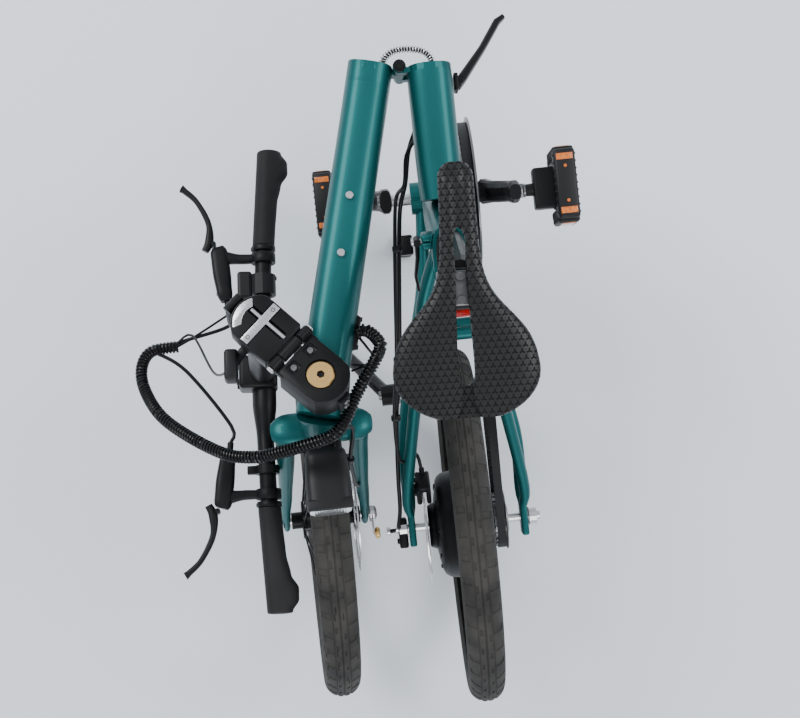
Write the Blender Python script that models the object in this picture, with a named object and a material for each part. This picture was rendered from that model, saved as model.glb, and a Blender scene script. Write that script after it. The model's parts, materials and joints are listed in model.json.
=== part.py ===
"""Folding electric bicycle with a belt drive, standing folded on its wheels.

Metres, +Z up. Each half of the bicycle is drawn unfolded, x to the rider's right, y forward and z up,
and the empties that carry the halves hold the angles of the joints in the folded pose.
"""

import math

import bmesh
import bpy
from mathutils import Matrix, Quaternion, Vector

GAP = 0.0004  # between pieces that touch

# Folded pose
ORIGIN_X = 0.0558
ORIGIN_Y = 0.0283
STAND_X = 0.0486  # the bottom bracket's place above the floor
STAND_Y = 0.2275
REAR_YAW = math.radians(6.0)
MAIN_FOLD = math.radians(166.0)
STEER_TURN = math.radians(14.5)
STEM_FOLD = math.radians(174.0)
CRANK_TURN = math.radians(8.0)
SADDLE_TURN = math.radians(-2.5)

# Geometry of the bicycle when it is ridden
WHEEL_R = 0.250
TYRE_HALF = 0.025
REAR_AXLE_Y = -0.463
BRACKET_Z = 0.290
FRONT_AXLE_Y = 0.722
FORK_RAKE = 0.050
HEAD_LEAN = math.radians(20.5)
SEAT_LEAN = math.radians(18.5)

# Main tube and its hinge
TUBE_HALF_W = 0.0275
TUBE_HALF_H = 0.040
HINGE_Y = 0.131
HINGE_TUBE_Z = 0.530
PIN_X = -0.036
PIN_R = 0.0045
KNUCKLE_R = 0.0083
LUG_PLATE = 0.009
HEAD_TUBE_R = 0.025
HEAD_BOTTOM = 0.288
HEAD_TOP = 0.412

# Drive
CRANK_LENGTH = 0.160
CRANK_OUT = 0.097
PEDAL_HINGE_OUT = 0.150
BELT_X = 0.045
BELT_HALF = 0.006
BELT_THICK = 0.004
FRONT_PULLEY_R = 0.0963
REAR_PULLEY_R = 0.0385
DROPOUT_X = 0.080

# Seat
POST_HALF_W = 0.017
POST_HALF_D = 0.032
POST_WALL = 0.004
SEAT_TUBE_TOP = 0.338
POST_TOP = 0.482

# Handlepost and handlebar, in the fork's frame
STEM_FACE = 0.470
STEM_AXIS_TURN = math.radians(43.0)
STEM_AXIS_TILT = math.radians(-2.3)
STEM_OFFSET = 0.046
BAR_HEIGHT = 0.746
BAR_HALF = 0.312
BAR_R = 0.0112
BAR_THICK_R = 0.0159
GRIP_START = 0.178

SIDES = 24


# ---------------------------------------------------------------- helpers

def clear_scene():
    for item in list(bpy.data.objects):
        bpy.data.objects.remove(item, do_unlink=True)


def material(name, colour, roughness, metallic=0.0):
    made = bpy.data.materials.new(name)
    made.use_nodes = True
    shader = made.node_tree.nodes["Principled BSDF"]
    shader.inputs["Base Color"].default_value = (*colour, 1.0)
    shader.inputs["Roughness"].default_value = roughness
    shader.inputs["Metallic"].default_value = metallic
    return made


def empty(name, parent, place, turn=None):
    made = bpy.data.objects.new(name, None)
    bpy.context.scene.collection.objects.link(made)
    made.parent = parent
    made.location = place
    if turn is not None:
        made.rotation_mode = "QUATERNION"
        made.rotation_quaternion = turn
    return made


def solid(name, mesh, finish, parent, place=(0, 0, 0)):
    """An object made from a bmesh, with its faces pointing outwards."""
    bmesh.ops.remove_doubles(mesh, verts=mesh.verts, dist=1e-6)
    bmesh.ops.recalc_face_normals(mesh, faces=mesh.faces)
    data = bpy.data.meshes.new(name)
    mesh.to_mesh(data)
    mesh.free()
    data.shade_smooth()
    data.set_sharp_from_angle(angle=math.radians(35))
    data.materials.append(finish)
    made = bpy.data.objects.new(name, data)
    bpy.context.scene.collection.objects.link(made)
    made.parent = parent
    made.location = place
    return made


def boolean(target, tool, operation="DIFFERENCE"):
    """Cuts the target with the tool, or joins the tool to it, and hides the tool."""
    tool.hide_render = True
    tool.display_type = "WIRE"
    step = target.modifiers.new(operation.lower(), "BOOLEAN")
    step.operation = operation
    step.object = tool
    step.solver = "EXACT"


def rounded_ring(centre, side, up, half_w, half_h, sides=16, power=2.6):
    """Points of a rounded oblong round a centre. A higher power gives squarer corners."""
    ring = []
    for step in range(sides):
        angle = 2 * math.pi * (step + 0.5) / sides
        c, s = math.cos(angle), math.sin(angle)
        a = math.copysign(abs(c) ** (2 / power), c) * half_w
        b = math.copysign(abs(s) ** (2 / power), s) * half_h
        ring.append(Vector(centre) + Vector(side) * a + Vector(up) * b)
    return ring


def loft(rings):
    """A closed bmesh through rings of equally many points, each drawn out of the last."""
    mesh = bmesh.new()
    face = mesh.faces.new([mesh.verts.new(point) for point in rings[0]])
    for index, ring in enumerate(rings[1:]):
        last = face
        grown = bmesh.ops.extrude_face_region(mesh, geom=[last])
        face = next(item for item in grown["geom"] if isinstance(item, bmesh.types.BMFace))
        for vertex, point in zip(face.verts, ring):
            vertex.co = point
        if index > 0:
            bmesh.ops.delete(mesh, geom=[last], context="FACES_ONLY")
    return mesh


def tube(stations, side=(1, 0, 0), sides=16, power=2.2):
    """A tube through stations of (centre, half width, half height); its width lies along side."""
    side = Vector(side).normalized()
    centres = [Vector(station[0]) for station in stations]
    rings = []
    for index, (centre, half_w, half_h) in enumerate(stations):
        before = centres[max(index - 1, 0)]
        after = centres[min(index + 1, len(centres) - 1)]
        along = (after - before).normalized()
        across = (side - along * side.dot(along)).normalized()
        rings.append(rounded_ring(centre, across, along.cross(across), half_w, half_h, sides, power))
    return loft(rings)


def turned(profile, axis="Z", sides=SIDES, start=0.0):
    """A closed solid turned round an axis from a closed profile of (radius, height along the axis)."""
    mesh = bmesh.new()
    loop = [mesh.verts.new((radius, 0, height)) for radius, height in profile]
    edges = []
    for here, after in zip(loop, loop[1:] + loop[:1]):
        if here.co.x > 0 or after.co.x > 0:
            edges.append(mesh.edges.new((here, after)))
    bmesh.ops.rotate(mesh, verts=mesh.verts, matrix=Matrix.Rotation(start, 3, "Z"))
    bmesh.ops.spin(mesh, geom=loop + edges, axis=(0, 0, 1), angle=2 * math.pi, steps=sides, use_merge=True)
    bmesh.ops.remove_doubles(mesh, verts=mesh.verts, dist=1e-6)
    if axis == "X":
        bmesh.ops.rotate(mesh, verts=mesh.verts, matrix=Matrix.Rotation(math.pi / 2, 3, "Y"))
    if axis == "Y":
        bmesh.ops.rotate(mesh, verts=mesh.verts, matrix=Matrix.Rotation(-math.pi / 2, 3, "X"))
    return mesh


def rod(ends, radius, sides=16):
    """A round bar between two points."""
    first, last = Vector(ends[0]), Vector(ends[1])
    side = Vector((1, 0, 0)) if abs((last - first).normalized().x) < 0.8 else Vector((0, 1, 0))
    return tube([(first, radius, radius), (last, radius, radius)], side=side, sides=sides, power=2.0)


def block(low, high, bevel=0.002, segments=2):
    """A box between two corners with rounded edges."""
    mesh = bmesh.new()
    bmesh.ops.create_cube(mesh, size=1.0)
    low, high = Vector(low), Vector(high)
    bmesh.ops.scale(mesh, verts=mesh.verts, vec=high - low)
    bmesh.ops.translate(mesh, verts=mesh.verts, vec=(low + high) / 2)
    bmesh.ops.bevel(mesh, geom=mesh.edges[:], offset=bevel, segments=segments, profile=0.5,
                    affect="EDGES", material=-1)
    return mesh


def plate(outline, low, high, axis="Z"):
    """An outline of (a, b) points drawn out between two heights along an axis."""
    mesh = bmesh.new()
    face = mesh.faces.new([mesh.verts.new((a, b, low)) for a, b in outline])
    grown = bmesh.ops.extrude_face_region(mesh, geom=[face])
    moved = [item for item in grown["geom"] if isinstance(item, bmesh.types.BMVert)]
    bmesh.ops.translate(mesh, verts=moved, vec=(0, 0, high - low))
    if axis == "X":  # (a, b, h) becomes x = h, y = a, z = b
        turn = Matrix(((0, 0, 1), (1, 0, 0), (0, 1, 0)))
        bmesh.ops.transform(mesh, verts=mesh.verts, matrix=turn.to_4x4())
    if axis == "Y":  # (a, b, h) becomes x = b, y = h, z = a
        turn = Matrix(((0, 1, 0), (0, 0, 1), (1, 0, 0)))
        bmesh.ops.transform(mesh, verts=mesh.verts, matrix=turn.to_4x4())
    return mesh


def arc(centre, radius, first, last, steps):
    """Points of an arc between two angles in degrees."""
    points = []
    for step in range(steps + 1):
        angle = math.radians(first + (last - first) * step / steps)
        points.append((centre[0] + radius * math.cos(angle), centre[1] + radius * math.sin(angle)))
    return points


def merged(*meshes):
    """One bmesh that holds the shapes of several."""
    whole = meshes[0]
    for other in meshes[1:]:
        data = bpy.data.meshes.new("merge")
        other.to_mesh(data)
        other.free()
        whole.from_mesh(data)
        bpy.data.meshes.remove(data)
    return whole


def guide(name, mesh, parent, place=(0, 0, 0)):
    """A shape that only cuts or joins other pieces."""
    return solid(name, mesh, FINISH["steel"], parent, place)


# ---------------------------------------------------------------- finishes and joint frames

FINISH = {}


def make_finishes():
    FINISH["paint"] = material("teal_paint", (0.006, 0.16, 0.165), 0.32, 0.6)
    FINISH["black"] = material("black_metal", (0.012, 0.012, 0.013), 0.4, 0.3)
    FINISH["plastic"] = material("black_plastic", (0.014, 0.014, 0.015), 0.5)
    FINISH["rubber"] = material("rubber", (0.02, 0.019, 0.019), 0.75)
    FINISH["tyre"] = material("tyre_rubber", (0.045, 0.04, 0.037), 0.8)
    FINISH["steel"] = material("steel", (0.55, 0.55, 0.56), 0.3, 1.0)
    FINISH["lens"] = material("red_lens", (0.5, 0.01, 0.01), 0.2)
    FINISH["saddle"] = material("saddle_cover", (0.02, 0.02, 0.021), 0.6)
    FINISH["cable"] = material("cable_wrap", (0.01, 0.01, 0.01), 0.45)


def wheel_phase(sides):
    """Half a facet, so that a wheel stands on a flat and not on a corner."""
    return math.pi / sides


# ---------------------------------------------------------------- rear frame

def make_rear_frame(rear, seat):
    """The welded rear half: main tube stub, seat tube, bottom bracket, stays, hinge lug and axle."""
    paint = FINISH["paint"]
    seat_outer_w = POST_HALF_W + POST_WALL
    seat_outer_d = POST_HALF_D + POST_WALL
    bottom = 0.027
    seat_tube = solid("seat_tube", tube([
        ((0, 0, bottom), 0.020, 0.026),
        ((0, 0, 0.120), seat_outer_w, seat_outer_d),
        ((0, 0, SEAT_TUBE_TOP), seat_outer_w, seat_outer_d),
    ], sides=20, power=3.0), paint, seat)
    clamp = guide("seat_clamp_ears", block((-0.0331, 0.008, SEAT_TUBE_TOP - 0.030),
                                           (-0.016, 0.026, SEAT_TUBE_TOP - 0.006), 0.003), seat)
    boolean(seat_tube, clamp, "UNION")
    bore = guide("seat_tube_bore", tube([
        ((0, 0, 0.060), POST_HALF_W + 0.0005, POST_HALF_D + 0.0005),
        ((0, 0, SEAT_TUBE_TOP + 0.02), POST_HALF_W + 0.0005, POST_HALF_D + 0.0005),
    ], sides=20, power=3.0), seat)
    boolean(seat_tube, bore)
    slit = guide("seat_tube_slit", block((-0.040, 0.0160, SEAT_TUBE_TOP - 0.045),
                                         (0.0, 0.0178, SEAT_TUBE_TOP + 0.01), 0.0003, 1), seat)
    boolean(seat_tube, slit)

    shell_x = 0.034
    shell = turned([(0.0225, -shell_x), (0.0225, shell_x), (0.0125, shell_x), (0.0125, -shell_x)], "X")
    solid("bottom_bracket_shell", shell, paint, rear, (0, 0, BRACKET_Z))
    bracket_cut = guide("bracket_cut", rod(((-0.06, 0, 0), (0.06, 0, 0)), 0.0225 + GAP, SIDES),
                        rear, (0, 0, BRACKET_Z))

    seat_cut = guide("seat_cut", tube([
        ((0, 0, 0.0), 0.020 + GAP, 0.026 + GAP),
        ((0, 0, 0.120), seat_outer_w + GAP, seat_outer_d + GAP),
        ((0, 0, SEAT_TUBE_TOP + 0.02), seat_outer_w + GAP, seat_outer_d + GAP),
    ], sides=20, power=3.0), seat)

    lug_start = HINGE_Y - LUG_PLATE
    main = solid("rear_main_tube", tube([
        ((0, -0.070, 0.517), 0.026, 0.041),
        ((0, 0.020, 0.523), TUBE_HALF_W, TUBE_HALF_H),
        ((0, lug_start - 0.010, HINGE_TUBE_Z), TUBE_HALF_W, TUBE_HALF_H),
        ((0, lug_start - GAP, HINGE_TUBE_Z), TUBE_HALF_W, TUBE_HALF_H),
    ], sides=20, power=2.7), paint, rear)
    boolean(main, seat_cut)

    for hand, name in ((-1, "left"), (1, "right")):
        chainstay = solid(f"chainstay_{name}", tube([
            ((hand * 0.024, -0.012, BRACKET_Z - 0.003), 0.009, 0.013),
            ((hand * 0.029, -0.115, 0.281), 0.009, 0.013),
            ((hand * 0.046, -0.190, 0.274), 0.009, 0.012),
            ((hand * 0.070, -0.290, 0.266), 0.009, 0.011),
            ((hand * DROPOUT_X, -0.350, 0.261), 0.009, 0.010),
            ((hand * DROPOUT_X, -0.420, 0.254), 0.009, 0.010),
            ((hand * DROPOUT_X, -0.445, 0.250), 0.006, 0.019),
            ((hand * DROPOUT_X, -0.488, 0.250), 0.006, 0.017),
        ], sides=10), paint, rear)
        boolean(chainstay, bracket_cut)
        hole = guide(f"dropout_hole_{name}", rod(((hand * 0.060, 0, 0), (hand * 0.100, 0, 0)), 0.0064, 12),
                     rear, (0, REAR_AXLE_Y, WHEEL_R))
        boolean(chainstay, hole)
        seatstay = solid(f"seatstay_{name}", tube([
            ((hand * 0.012, -0.080, 0.480), 0.009, 0.014),
            ((hand * 0.034, -0.150, 0.448), 0.009, 0.013),
            ((hand * 0.046, -0.220, 0.405), 0.009, 0.012),
            ((hand * DROPOUT_X, -0.400, 0.300), 0.008, 0.009),
            ((hand * DROPOUT_X, -0.4390, 0.2800), 0.006, 0.009),
        ], sides=10), paint, rear)
        boolean(seatstay, seat_cut)
        middle = guide(f"middle_cut_{name}", block((-hand * 0.03 - 0.03, -0.2, 0.40),
                                                   (-hand * 0.03 + 0.03, 0.0, 0.55), 0.001, 1), rear,
                       (hand * GAP, 0, 0))
        boolean(seatstay, middle)

    make_hinge_lug("hinge_lug_rear", rear, lug_start, HINGE_Y - GAP, ((0.496, 0.512), (0.5405, 0.5565)))
    pin = turned([(0, 0.484), (0.0075, 0.484), (0.0075, 0.4955), (PIN_R, 0.4952), (PIN_R, 0.5573),
                  (0.0075, 0.5573), (0.0075, 0.563), (0, 0.563)], "Z", 16)
    solid("hinge_pin", pin, FINISH["black"], rear, (PIN_X, HINGE_Y, 0))

    axle = turned([(0, -0.103), (0.006, -0.103), (0.006, -0.098), (0.0115, -0.098), (0.0115, -0.0865),
                   (0.006, -0.0865), (0.006, 0.0865), (0.0115, 0.0865), (0.0115, 0.098),
                   (0.006, 0.098), (0.006, 0.103), (0, 0.103)], "X", 12)
    solid("rear_axle", axle, FINISH["steel"], rear, (0, REAR_AXLE_Y, WHEEL_R))


def make_hinge_lug(name, parent, low, high, knuckles, place=(0, 0, 0)):
    """A hinge plate across the tube's end, with knuckles round the pin at its left side."""
    lug = solid(name, tube([
        ((0, low, HINGE_TUBE_Z), TUBE_HALF_W, TUBE_HALF_H),
        ((0, high, HINGE_TUBE_Z), TUBE_HALF_W, TUBE_HALF_H),
    ], sides=20, power=2.7), FINISH["paint"], parent, place)
    pin = Vector(place) + Vector((PIN_X, HINGE_Y, 0))
    for index, (bottom, top) in enumerate(knuckles):
        arm = guide(f"{name}_arm_{index}", block((PIN_X, low + 0.0007, bottom),
                                                 (-TUBE_HALF_W + 0.006, high - 0.0011, top), 0.0005, 1), parent, place)
        boolean(lug, arm, "UNION")
        ear = guide(f"{name}_ear_{index}", rod(((0, 0, bottom - 0.0004), (0, 0, top + 0.0004)), KNUCKLE_R, 18),
                    parent, pin)
        boolean(lug, ear, "UNION")
        hole = guide(f"{name}_hole_{index}", rod(((0, 0, bottom - 0.004), (0, 0, top + 0.004)), PIN_R + 0.0003, 16),
                     parent, pin)
        boolean(lug, hole)


# ---------------------------------------------------------------- wheels

def tyre_profile(outer):
    """A tyre's section, open towards the rim."""
    middle = 0.2255
    outside, inside = [], []
    for step in range(7):
        angle = math.radians(-38 + 256 * step / 6)
        outside.append((middle + (outer - middle) * math.sin(angle), TYRE_HALF * math.cos(angle)))
        inside.append((middle + (outer - middle - 0.005) * math.sin(angle), (TYRE_HALF - 0.004) * math.cos(angle)))
    return outside + inside[::-1]


def make_wheel(prefix, holder, spoke_start, hub_profile, hub_name, hub_sides, flange_x, phase):
    """A tyre, a rim, and a hub with its spokes, all turned round the axle."""
    sides = 36
    start = wheel_phase(sides)
    outer = WHEEL_R / math.cos(math.pi / sides)
    turn = Quaternion((1, 0, 0), phase)
    spin = empty(f"{prefix}_spin", holder, (0, 0, 0), turn)
    solid(f"{prefix}_tyre", turned(tyre_profile(outer), "X", sides, start), FINISH["tyre"], spin)
    rim = [(0.2065, -0.0125), (0.2045, 0.0), (0.2065, 0.0125), (0.197, 0.0120), (0.188, 0.0060),
           (0.188, -0.0060), (0.197, -0.0120)]
    solid(f"{prefix}_rim", turned(rim, "X", sides, start), FINISH["black"], spin)
    hub = solid(hub_name, turned(hub_profile, "X", hub_sides, wheel_phase(hub_sides)), FINISH["black"], spin)
    spokes = []
    count = 24
    for index in range(count):
        angle = 2 * math.pi * (index + 0.4) / count
        side = flange_x if index % 2 else -flange_x
        lean = 0.30 if index % 2 else -0.30
        inner = Vector((side, spoke_start * math.sin(angle + lean), spoke_start * math.cos(angle + lean)))
        end = 0.1860
        outer_end = Vector((side * 0.15, end * math.sin(angle), end * math.cos(angle)))
        spokes.append(tube([(inner, 0.0011, 0.0011), (outer_end, 0.0011, 0.0011)], sides=4, power=2.0))
    boolean(hub, guide(f"{prefix}_spokes", merged(*spokes), spin), "UNION")
    return spin


def rotor_profile(x, hole):
    return [(hole, x - 0.001), (0.080, x - 0.001), (0.080, x + 0.001), (hole, x + 0.001)]


def make_caliper(name, parent, place, turn, rotor_x, out):
    """A disc brake caliper that straddles the rotor's edge."""
    low, high = sorted((rotor_x - 0.010 * out, rotor_x + 0.011 * out))
    caliper = solid(name, block((low, -0.021, -0.013), (high, 0.021, 0.017), 0.003), FINISH["black"], parent, place)
    caliper.rotation_euler = (turn, 0, 0)
    slot = guide(f"{name}_slot", block((rotor_x - 0.0025, -0.04, -0.040), (rotor_x + 0.0025, 0.04, 0.008),
                                       0.0003, 1), parent, place)
    slot.rotation_euler = (turn, 0, 0)
    boolean(caliper, slot)


# ---------------------------------------------------------------- drive

def make_drive(rear):
    crank = empty("crank_spin", rear, (0, 0, BRACKET_Z), Quaternion((1, 0, 0), CRANK_TURN))
    spindle = turned([(0, -0.064), (0.0085, -0.064), (0.0085, 0.064), (0, 0.064)], "X", 16)
    solid("crank_spindle", spindle, FINISH["steel"], crank)
    for hand, name in ((1, "right"), (-1, "left")):
        arm = solid(f"crank_arm_{name}", tube([
            ((hand * 0.069, 0, -hand * 0.020), 0.008, 0.016),
            ((hand * 0.069, 0, 0), 0.009, 0.018),
            ((hand * 0.076, 0, hand * 0.050), 0.0085, 0.015),
            ((hand * 0.094, 0, hand * 0.120), 0.0080, 0.014),
            ((hand * CRANK_OUT, 0, hand * CRANK_LENGTH), 0.0080, 0.015),
            ((hand * CRANK_OUT, 0, hand * (CRANK_LENGTH + 0.014)), 0.0075, 0.010),
        ], sides=12, power=2.8), FINISH["black"], crank)
        seat_hole = guide(f"crank_hole_{name}", rod(((hand * 0.050, 0, 0), (hand * 0.0645, 0, 0)), 0.0085 + GAP),
                          crank)
        boolean(arm, seat_hole)
        pedal_hole = guide(f"pedal_hole_{name}", rod(((hand * 0.080, 0, 0), (hand * 0.12, 0, 0)), 0.0075 + GAP),
                           crank, (0, 0, hand * CRANK_LENGTH))
        boolean(arm, pedal_hole)
        make_pedal(crank, hand, name)

    flange = 0.105
    rim_r = FRONT_PULLEY_R - BELT_THICK / 2 - GAP
    pulley = turned([
        (0.0088, BELT_X - 0.004), (0.030, BELT_X - 0.004), (0.034, BELT_X - 0.0015), (0.078, BELT_X - 0.0015),
        (0.084, BELT_X - BELT_HALF - 0.001), (rim_r, BELT_X - BELT_HALF - 0.001),
        (rim_r, BELT_X + BELT_HALF + 0.0008), (flange, BELT_X + BELT_HALF + 0.001),
        (flange, BELT_X + BELT_HALF + 0.005), (0.084, BELT_X + BELT_HALF + 0.006),
        (0.078, BELT_X + 0.0045), (0.034, BELT_X + 0.0045), (0.030, BELT_X + 0.010),
        (0.0088, BELT_X + 0.010),
    ], "X", 32)
    solid("front_pulley", pulley, FINISH["black"], crank)

    rim_r = REAR_PULLEY_R - BELT_THICK / 2 - GAP
    small = turned([
        (0.0080, BELT_X - 0.009), (rim_r, BELT_X - 0.009), (rim_r, BELT_X + BELT_HALF + 0.001),
        (0.043, BELT_X + BELT_HALF + 0.001), (0.043, BELT_X + BELT_HALF + 0.003),
        (0.020, BELT_X + 0.012), (0.0080, BELT_X + 0.012),
    ], "X", 24)
    solid("rear_pulley", small, FINISH["black"], empty("rear_pulley_spin", rear, (0, REAR_AXLE_Y, WHEEL_R)))
    make_belt(rear)


def make_belt(rear):
    """The toothed belt: a flat band wrapped round both pulleys."""
    distance = math.hypot(REAR_AXLE_Y, BRACKET_Z - WHEEL_R)
    tilt = math.degrees(math.atan2(WHEEL_R - BRACKET_Z, REAR_AXLE_Y))
    spread = math.degrees(math.acos((FRONT_PULLEY_R - REAR_PULLEY_R) / distance))
    loops = []
    for offset in (BELT_THICK / 2, -BELT_THICK / 2):
        big = arc((0, BRACKET_Z), FRONT_PULLEY_R + offset, tilt + spread, tilt + 360 - spread, 26)
        small = arc((REAR_AXLE_Y, WHEEL_R), REAR_PULLEY_R + offset, tilt - spread, tilt + spread, 12)
        loops.append(big + small)
    mesh = bmesh.new()
    edges = []
    for loop in loops:
        ring = [mesh.verts.new((BELT_X - BELT_HALF, y, z)) for y, z in loop]
        edges += [mesh.edges.new((ring[i], ring[(i + 1) % len(ring)])) for i in range(len(ring))]
    band = bmesh.ops.bridge_loops(mesh, edges=edges)["faces"]
    grown = bmesh.ops.extrude_face_region(mesh, geom=band)
    moved = [item for item in grown["geom"] if isinstance(item, bmesh.types.BMVert)]
    bmesh.ops.translate(mesh, verts=moved, vec=(2 * BELT_HALF, 0, 0))
    solid("belt", mesh, FINISH["rubber"], rear)


def make_pedal(crank, hand, name):
    """A folding pedal: a body that turns on its spindle and a cage that folds flat against the crank."""
    spin = empty(f"pedal_spin_{name}", crank, (0, 0, hand * CRANK_LENGTH), Quaternion((1, 0, 0), -CRANK_TURN))
    start, shoulder, end = 0.0895, 0.1060, 0.1240
    body = solid(f"pedal_body_{name}", tube([
        ((hand * start, 0, 0), 0.0075, 0.0075),
        ((hand * shoulder, 0, 0), 0.0075, 0.0075),
        ((hand * (end - 0.002), 0, 0), 0.0085, 0.0085),
    ], side=(0, 1, 0), sides=16, power=2.0), FINISH["black"], spin)
    knuckle = guide(f"pedal_knuckle_{name}", block((min(hand * (end - 0.003), hand * 0.1555), -0.0265, -0.0120),
                                                   (max(hand * (end - 0.003), hand * 0.1555), 0.0265, 0.0120),
                                                   0.003), spin)
    boolean(body, knuckle, "UNION")
    fold = empty(f"pedal_fold_{name}", spin, (hand * PEDAL_HINGE_OUT, 0, 0))
    inner_y, outer_y = 0.0275, 0.0485
    inside, outside = -0.0035, 0.0240
    low, high = -0.040, 0.040
    outline = [
        (-outer_y, low + 0.010), (-outer_y + 0.008, low), (-inner_y, low), (-inner_y, high - 0.022),
        (inner_y, high - 0.022), (inner_y, low), (outer_y - 0.008, low), (outer_y, low + 0.010),
        (outer_y, high - 0.012), (outer_y - 0.012, high), (-outer_y + 0.012, high), (-outer_y, high - 0.012),
    ]
    cage = plate(outline, min(hand * inside, hand * outside), max(hand * inside, hand * outside), "X")
    solid(f"pedal_cage_{name}", cage, FINISH["plastic"], fold)


# ---------------------------------------------------------------- seat

def saddle_half_width(t):
    """Half the saddle's width, t running from the nose at 0 to the tail at 1."""
    nose = 0.0185 + 0.005 * t
    flare = 0.050 / (1 + math.exp(-(t - 0.60) * 17))
    end_round = 1.0
    if t < 0.06:
        end_round = math.sqrt(max(0.0, 1 - ((0.06 - t) / 0.06) ** 2)) * 0.45 + 0.55
    if t > 0.80:
        end_round = math.sqrt(max(0.0, 1 - ((t - 0.80) / 0.215) ** 2))
    return (nose + flare) * end_round


def make_seat(seat):
    slide = empty("seatpost_slide", seat, (0, 0, 0))
    post = solid("seatpost", tube([
        ((0, 0, 0.064), POST_HALF_W, POST_HALF_D),
        ((0, 0, 0.455), POST_HALF_W, POST_HALF_D),
        ((0, 0.004, POST_TOP - 0.006), 0.0165, 0.026),
    ], sides=20, power=3.0), FINISH["black"], slide)
    level = empty("saddle_level", slide, (0, 0, POST_TOP), Quaternion((1, 0, 0), -SEAT_LEAN))
    level_turn = empty("saddle_turn", level, (0, 0, 0), Quaternion((0, 0, 1), SADDLE_TURN))
    clamp = guide("saddle_clamp", block((-0.021, -0.022, -0.012), (0.021, 0.022, 0.014), 0.004), level_turn)
    boolean(post, clamp, "UNION")
    for hand, name in ((-1, "left"), (1, "right")):
        rail = guide(f"saddle_rail_{name}", tube([
            ((hand * 0.012, 0.085, 0.0185), 0.0035, 0.0035),
            ((hand * 0.020, 0.040, 0.008), 0.0035, 0.0035),
            ((hand * 0.020, -0.045, 0.008), 0.0035, 0.0035),
            ((hand * 0.034, -0.085, 0.0185), 0.0035, 0.0035),
        ], sides=8, power=2.0), level_turn)
        boolean(post, rail, "UNION")

    length, front = 0.272, 0.132
    rings = []
    for step in range(15):
        t = step / 14
        if step == 0:
            t = 0.004
        if step == 14:
            t = 0.988
        y = front - length * t
        half = saddle_half_width(t)
        top = 0.050 + 0.003 * math.cos(math.pi * t) + 0.006 * max(0.0, t - 0.6)
        depth = 0.024 + 0.004 * min(1.0, t / 0.4)
        if t < 0.1:
            top -= 0.010 * (1 - t / 0.1) ** 2
        ring = []
        for turn in range(16):
            angle = 2 * math.pi * (turn + 0.5) / 16
            c, s = math.cos(angle), math.sin(angle)
            x = math.copysign(abs(c) ** 0.72, c) * half
            rise = math.copysign(abs(s) ** 0.72, s) * depth / 2
            ring.append(Vector((x, y, top - depth / 2 + rise)))
        rings.append(ring)
    saddle = solid("saddle", loft(rings), FINISH["saddle"], level_turn)
    slot = guide("saddle_slot", plate([
        (-0.004, 0.064), (-0.0075, 0.050), (-0.0060, 0.010), (-0.0085, -0.060), (-0.0090, -0.094),
        (0.0, -0.104), (0.0090, -0.094), (0.0085, -0.060), (0.0060, 0.010), (0.0075, 0.050), (0.004, 0.064),
    ], 0.0, 0.080), level_turn)
    boolean(saddle, slot)

    solid("tail_light", block((-0.0125, -0.0420, 0.425), (0.0125, -0.0328, 0.452), 0.003), FINISH["lens"], slide)

    lever = empty("seat_clamp_spin", seat, (-0.038, 0.017, SEAT_TUBE_TOP - 0.018))
    clamp_lever = solid("seat_clamp_lever", tube([
        ((0, 0.0020, 0), 0.0033, 0.0090),
        ((-0.001, -0.020, -0.001), 0.0025, 0.0080),
        ((-0.005, -0.042, -0.002), 0.0022, 0.0075),
        ((-0.003, -0.060, -0.003), 0.0020, 0.0050),
    ], sides=10, power=2.6), FINISH["black"], lever)
    barrel = guide("seat_clamp_barrel", rod(((0, 0, -0.0110), (0, 0, 0.0110)), 0.0045, 14), lever)
    boolean(clamp_lever, barrel, "UNION")


# ---------------------------------------------------------------- stands and catches

def make_stands(rear):
    leg = empty("kickstand_fold", rear, (-0.0945, -0.2735, 0.203))
    end = Vector((-0.1020, 0.1140, -0.1975))
    stand = solid("kickstand", tube([
        ((0, 0, 0), 0.0105, 0.0105),
        (end * 0.93, 0.0085, 0.0085),
    ], sides=12, power=2.0), FINISH["black"], leg)
    head = guide("kickstand_head", rod(((-0.010, 0.002, 0.004), (0.0150, 0.002, 0.004)), 0.0155, 16), leg)
    boolean(stand, head, "UNION")
    foot = guide("kickstand_foot", block((-0.014, -0.022, -0.203), (0.014, 0.014, -0.178), 0.005), leg,
                 (end.x, end.y, 0))
    boolean(stand, foot, "UNION")

    prop = empty("rest_leg_fold", rear, (-0.046, -0.062, 0.262))
    rest = solid("rest_leg", tube([
        ((0, 0, 0.0), 0.0075, 0.0095),
        ((0, 0.018, -0.245), 0.0075, 0.0075),
    ], sides=12, power=2.0), FINISH["black"], prop)
    foot = guide("rest_leg_foot", block((-0.011, 0.002, -0.262), (0.011, 0.036, -0.240), 0.004), prop)
    boolean(rest, foot, "UNION")


def make_frame_latch(rear):
    pivot = empty("frame_latch_turn", rear, (0.0365, 0.110, HINGE_TUBE_Z - 0.008),
                  Quaternion((0, 0, 1), math.radians(-37)))
    solid("frame_latch_lever", tube([
        ((0, -0.006, 0), 0.0050, 0.012),
        ((0, 0.006, 0), 0.0060, 0.014),
        ((0.002, 0.050, 0), 0.0045, 0.013),
        ((0.0005, 0.088, 0), 0.0045, 0.011),
        ((0.0040, 0.098, 0), 0.0030, 0.008),
    ], sides=12, power=3.0), FINISH["black"], pivot)


# ---------------------------------------------------------------- front frame and fork

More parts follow.
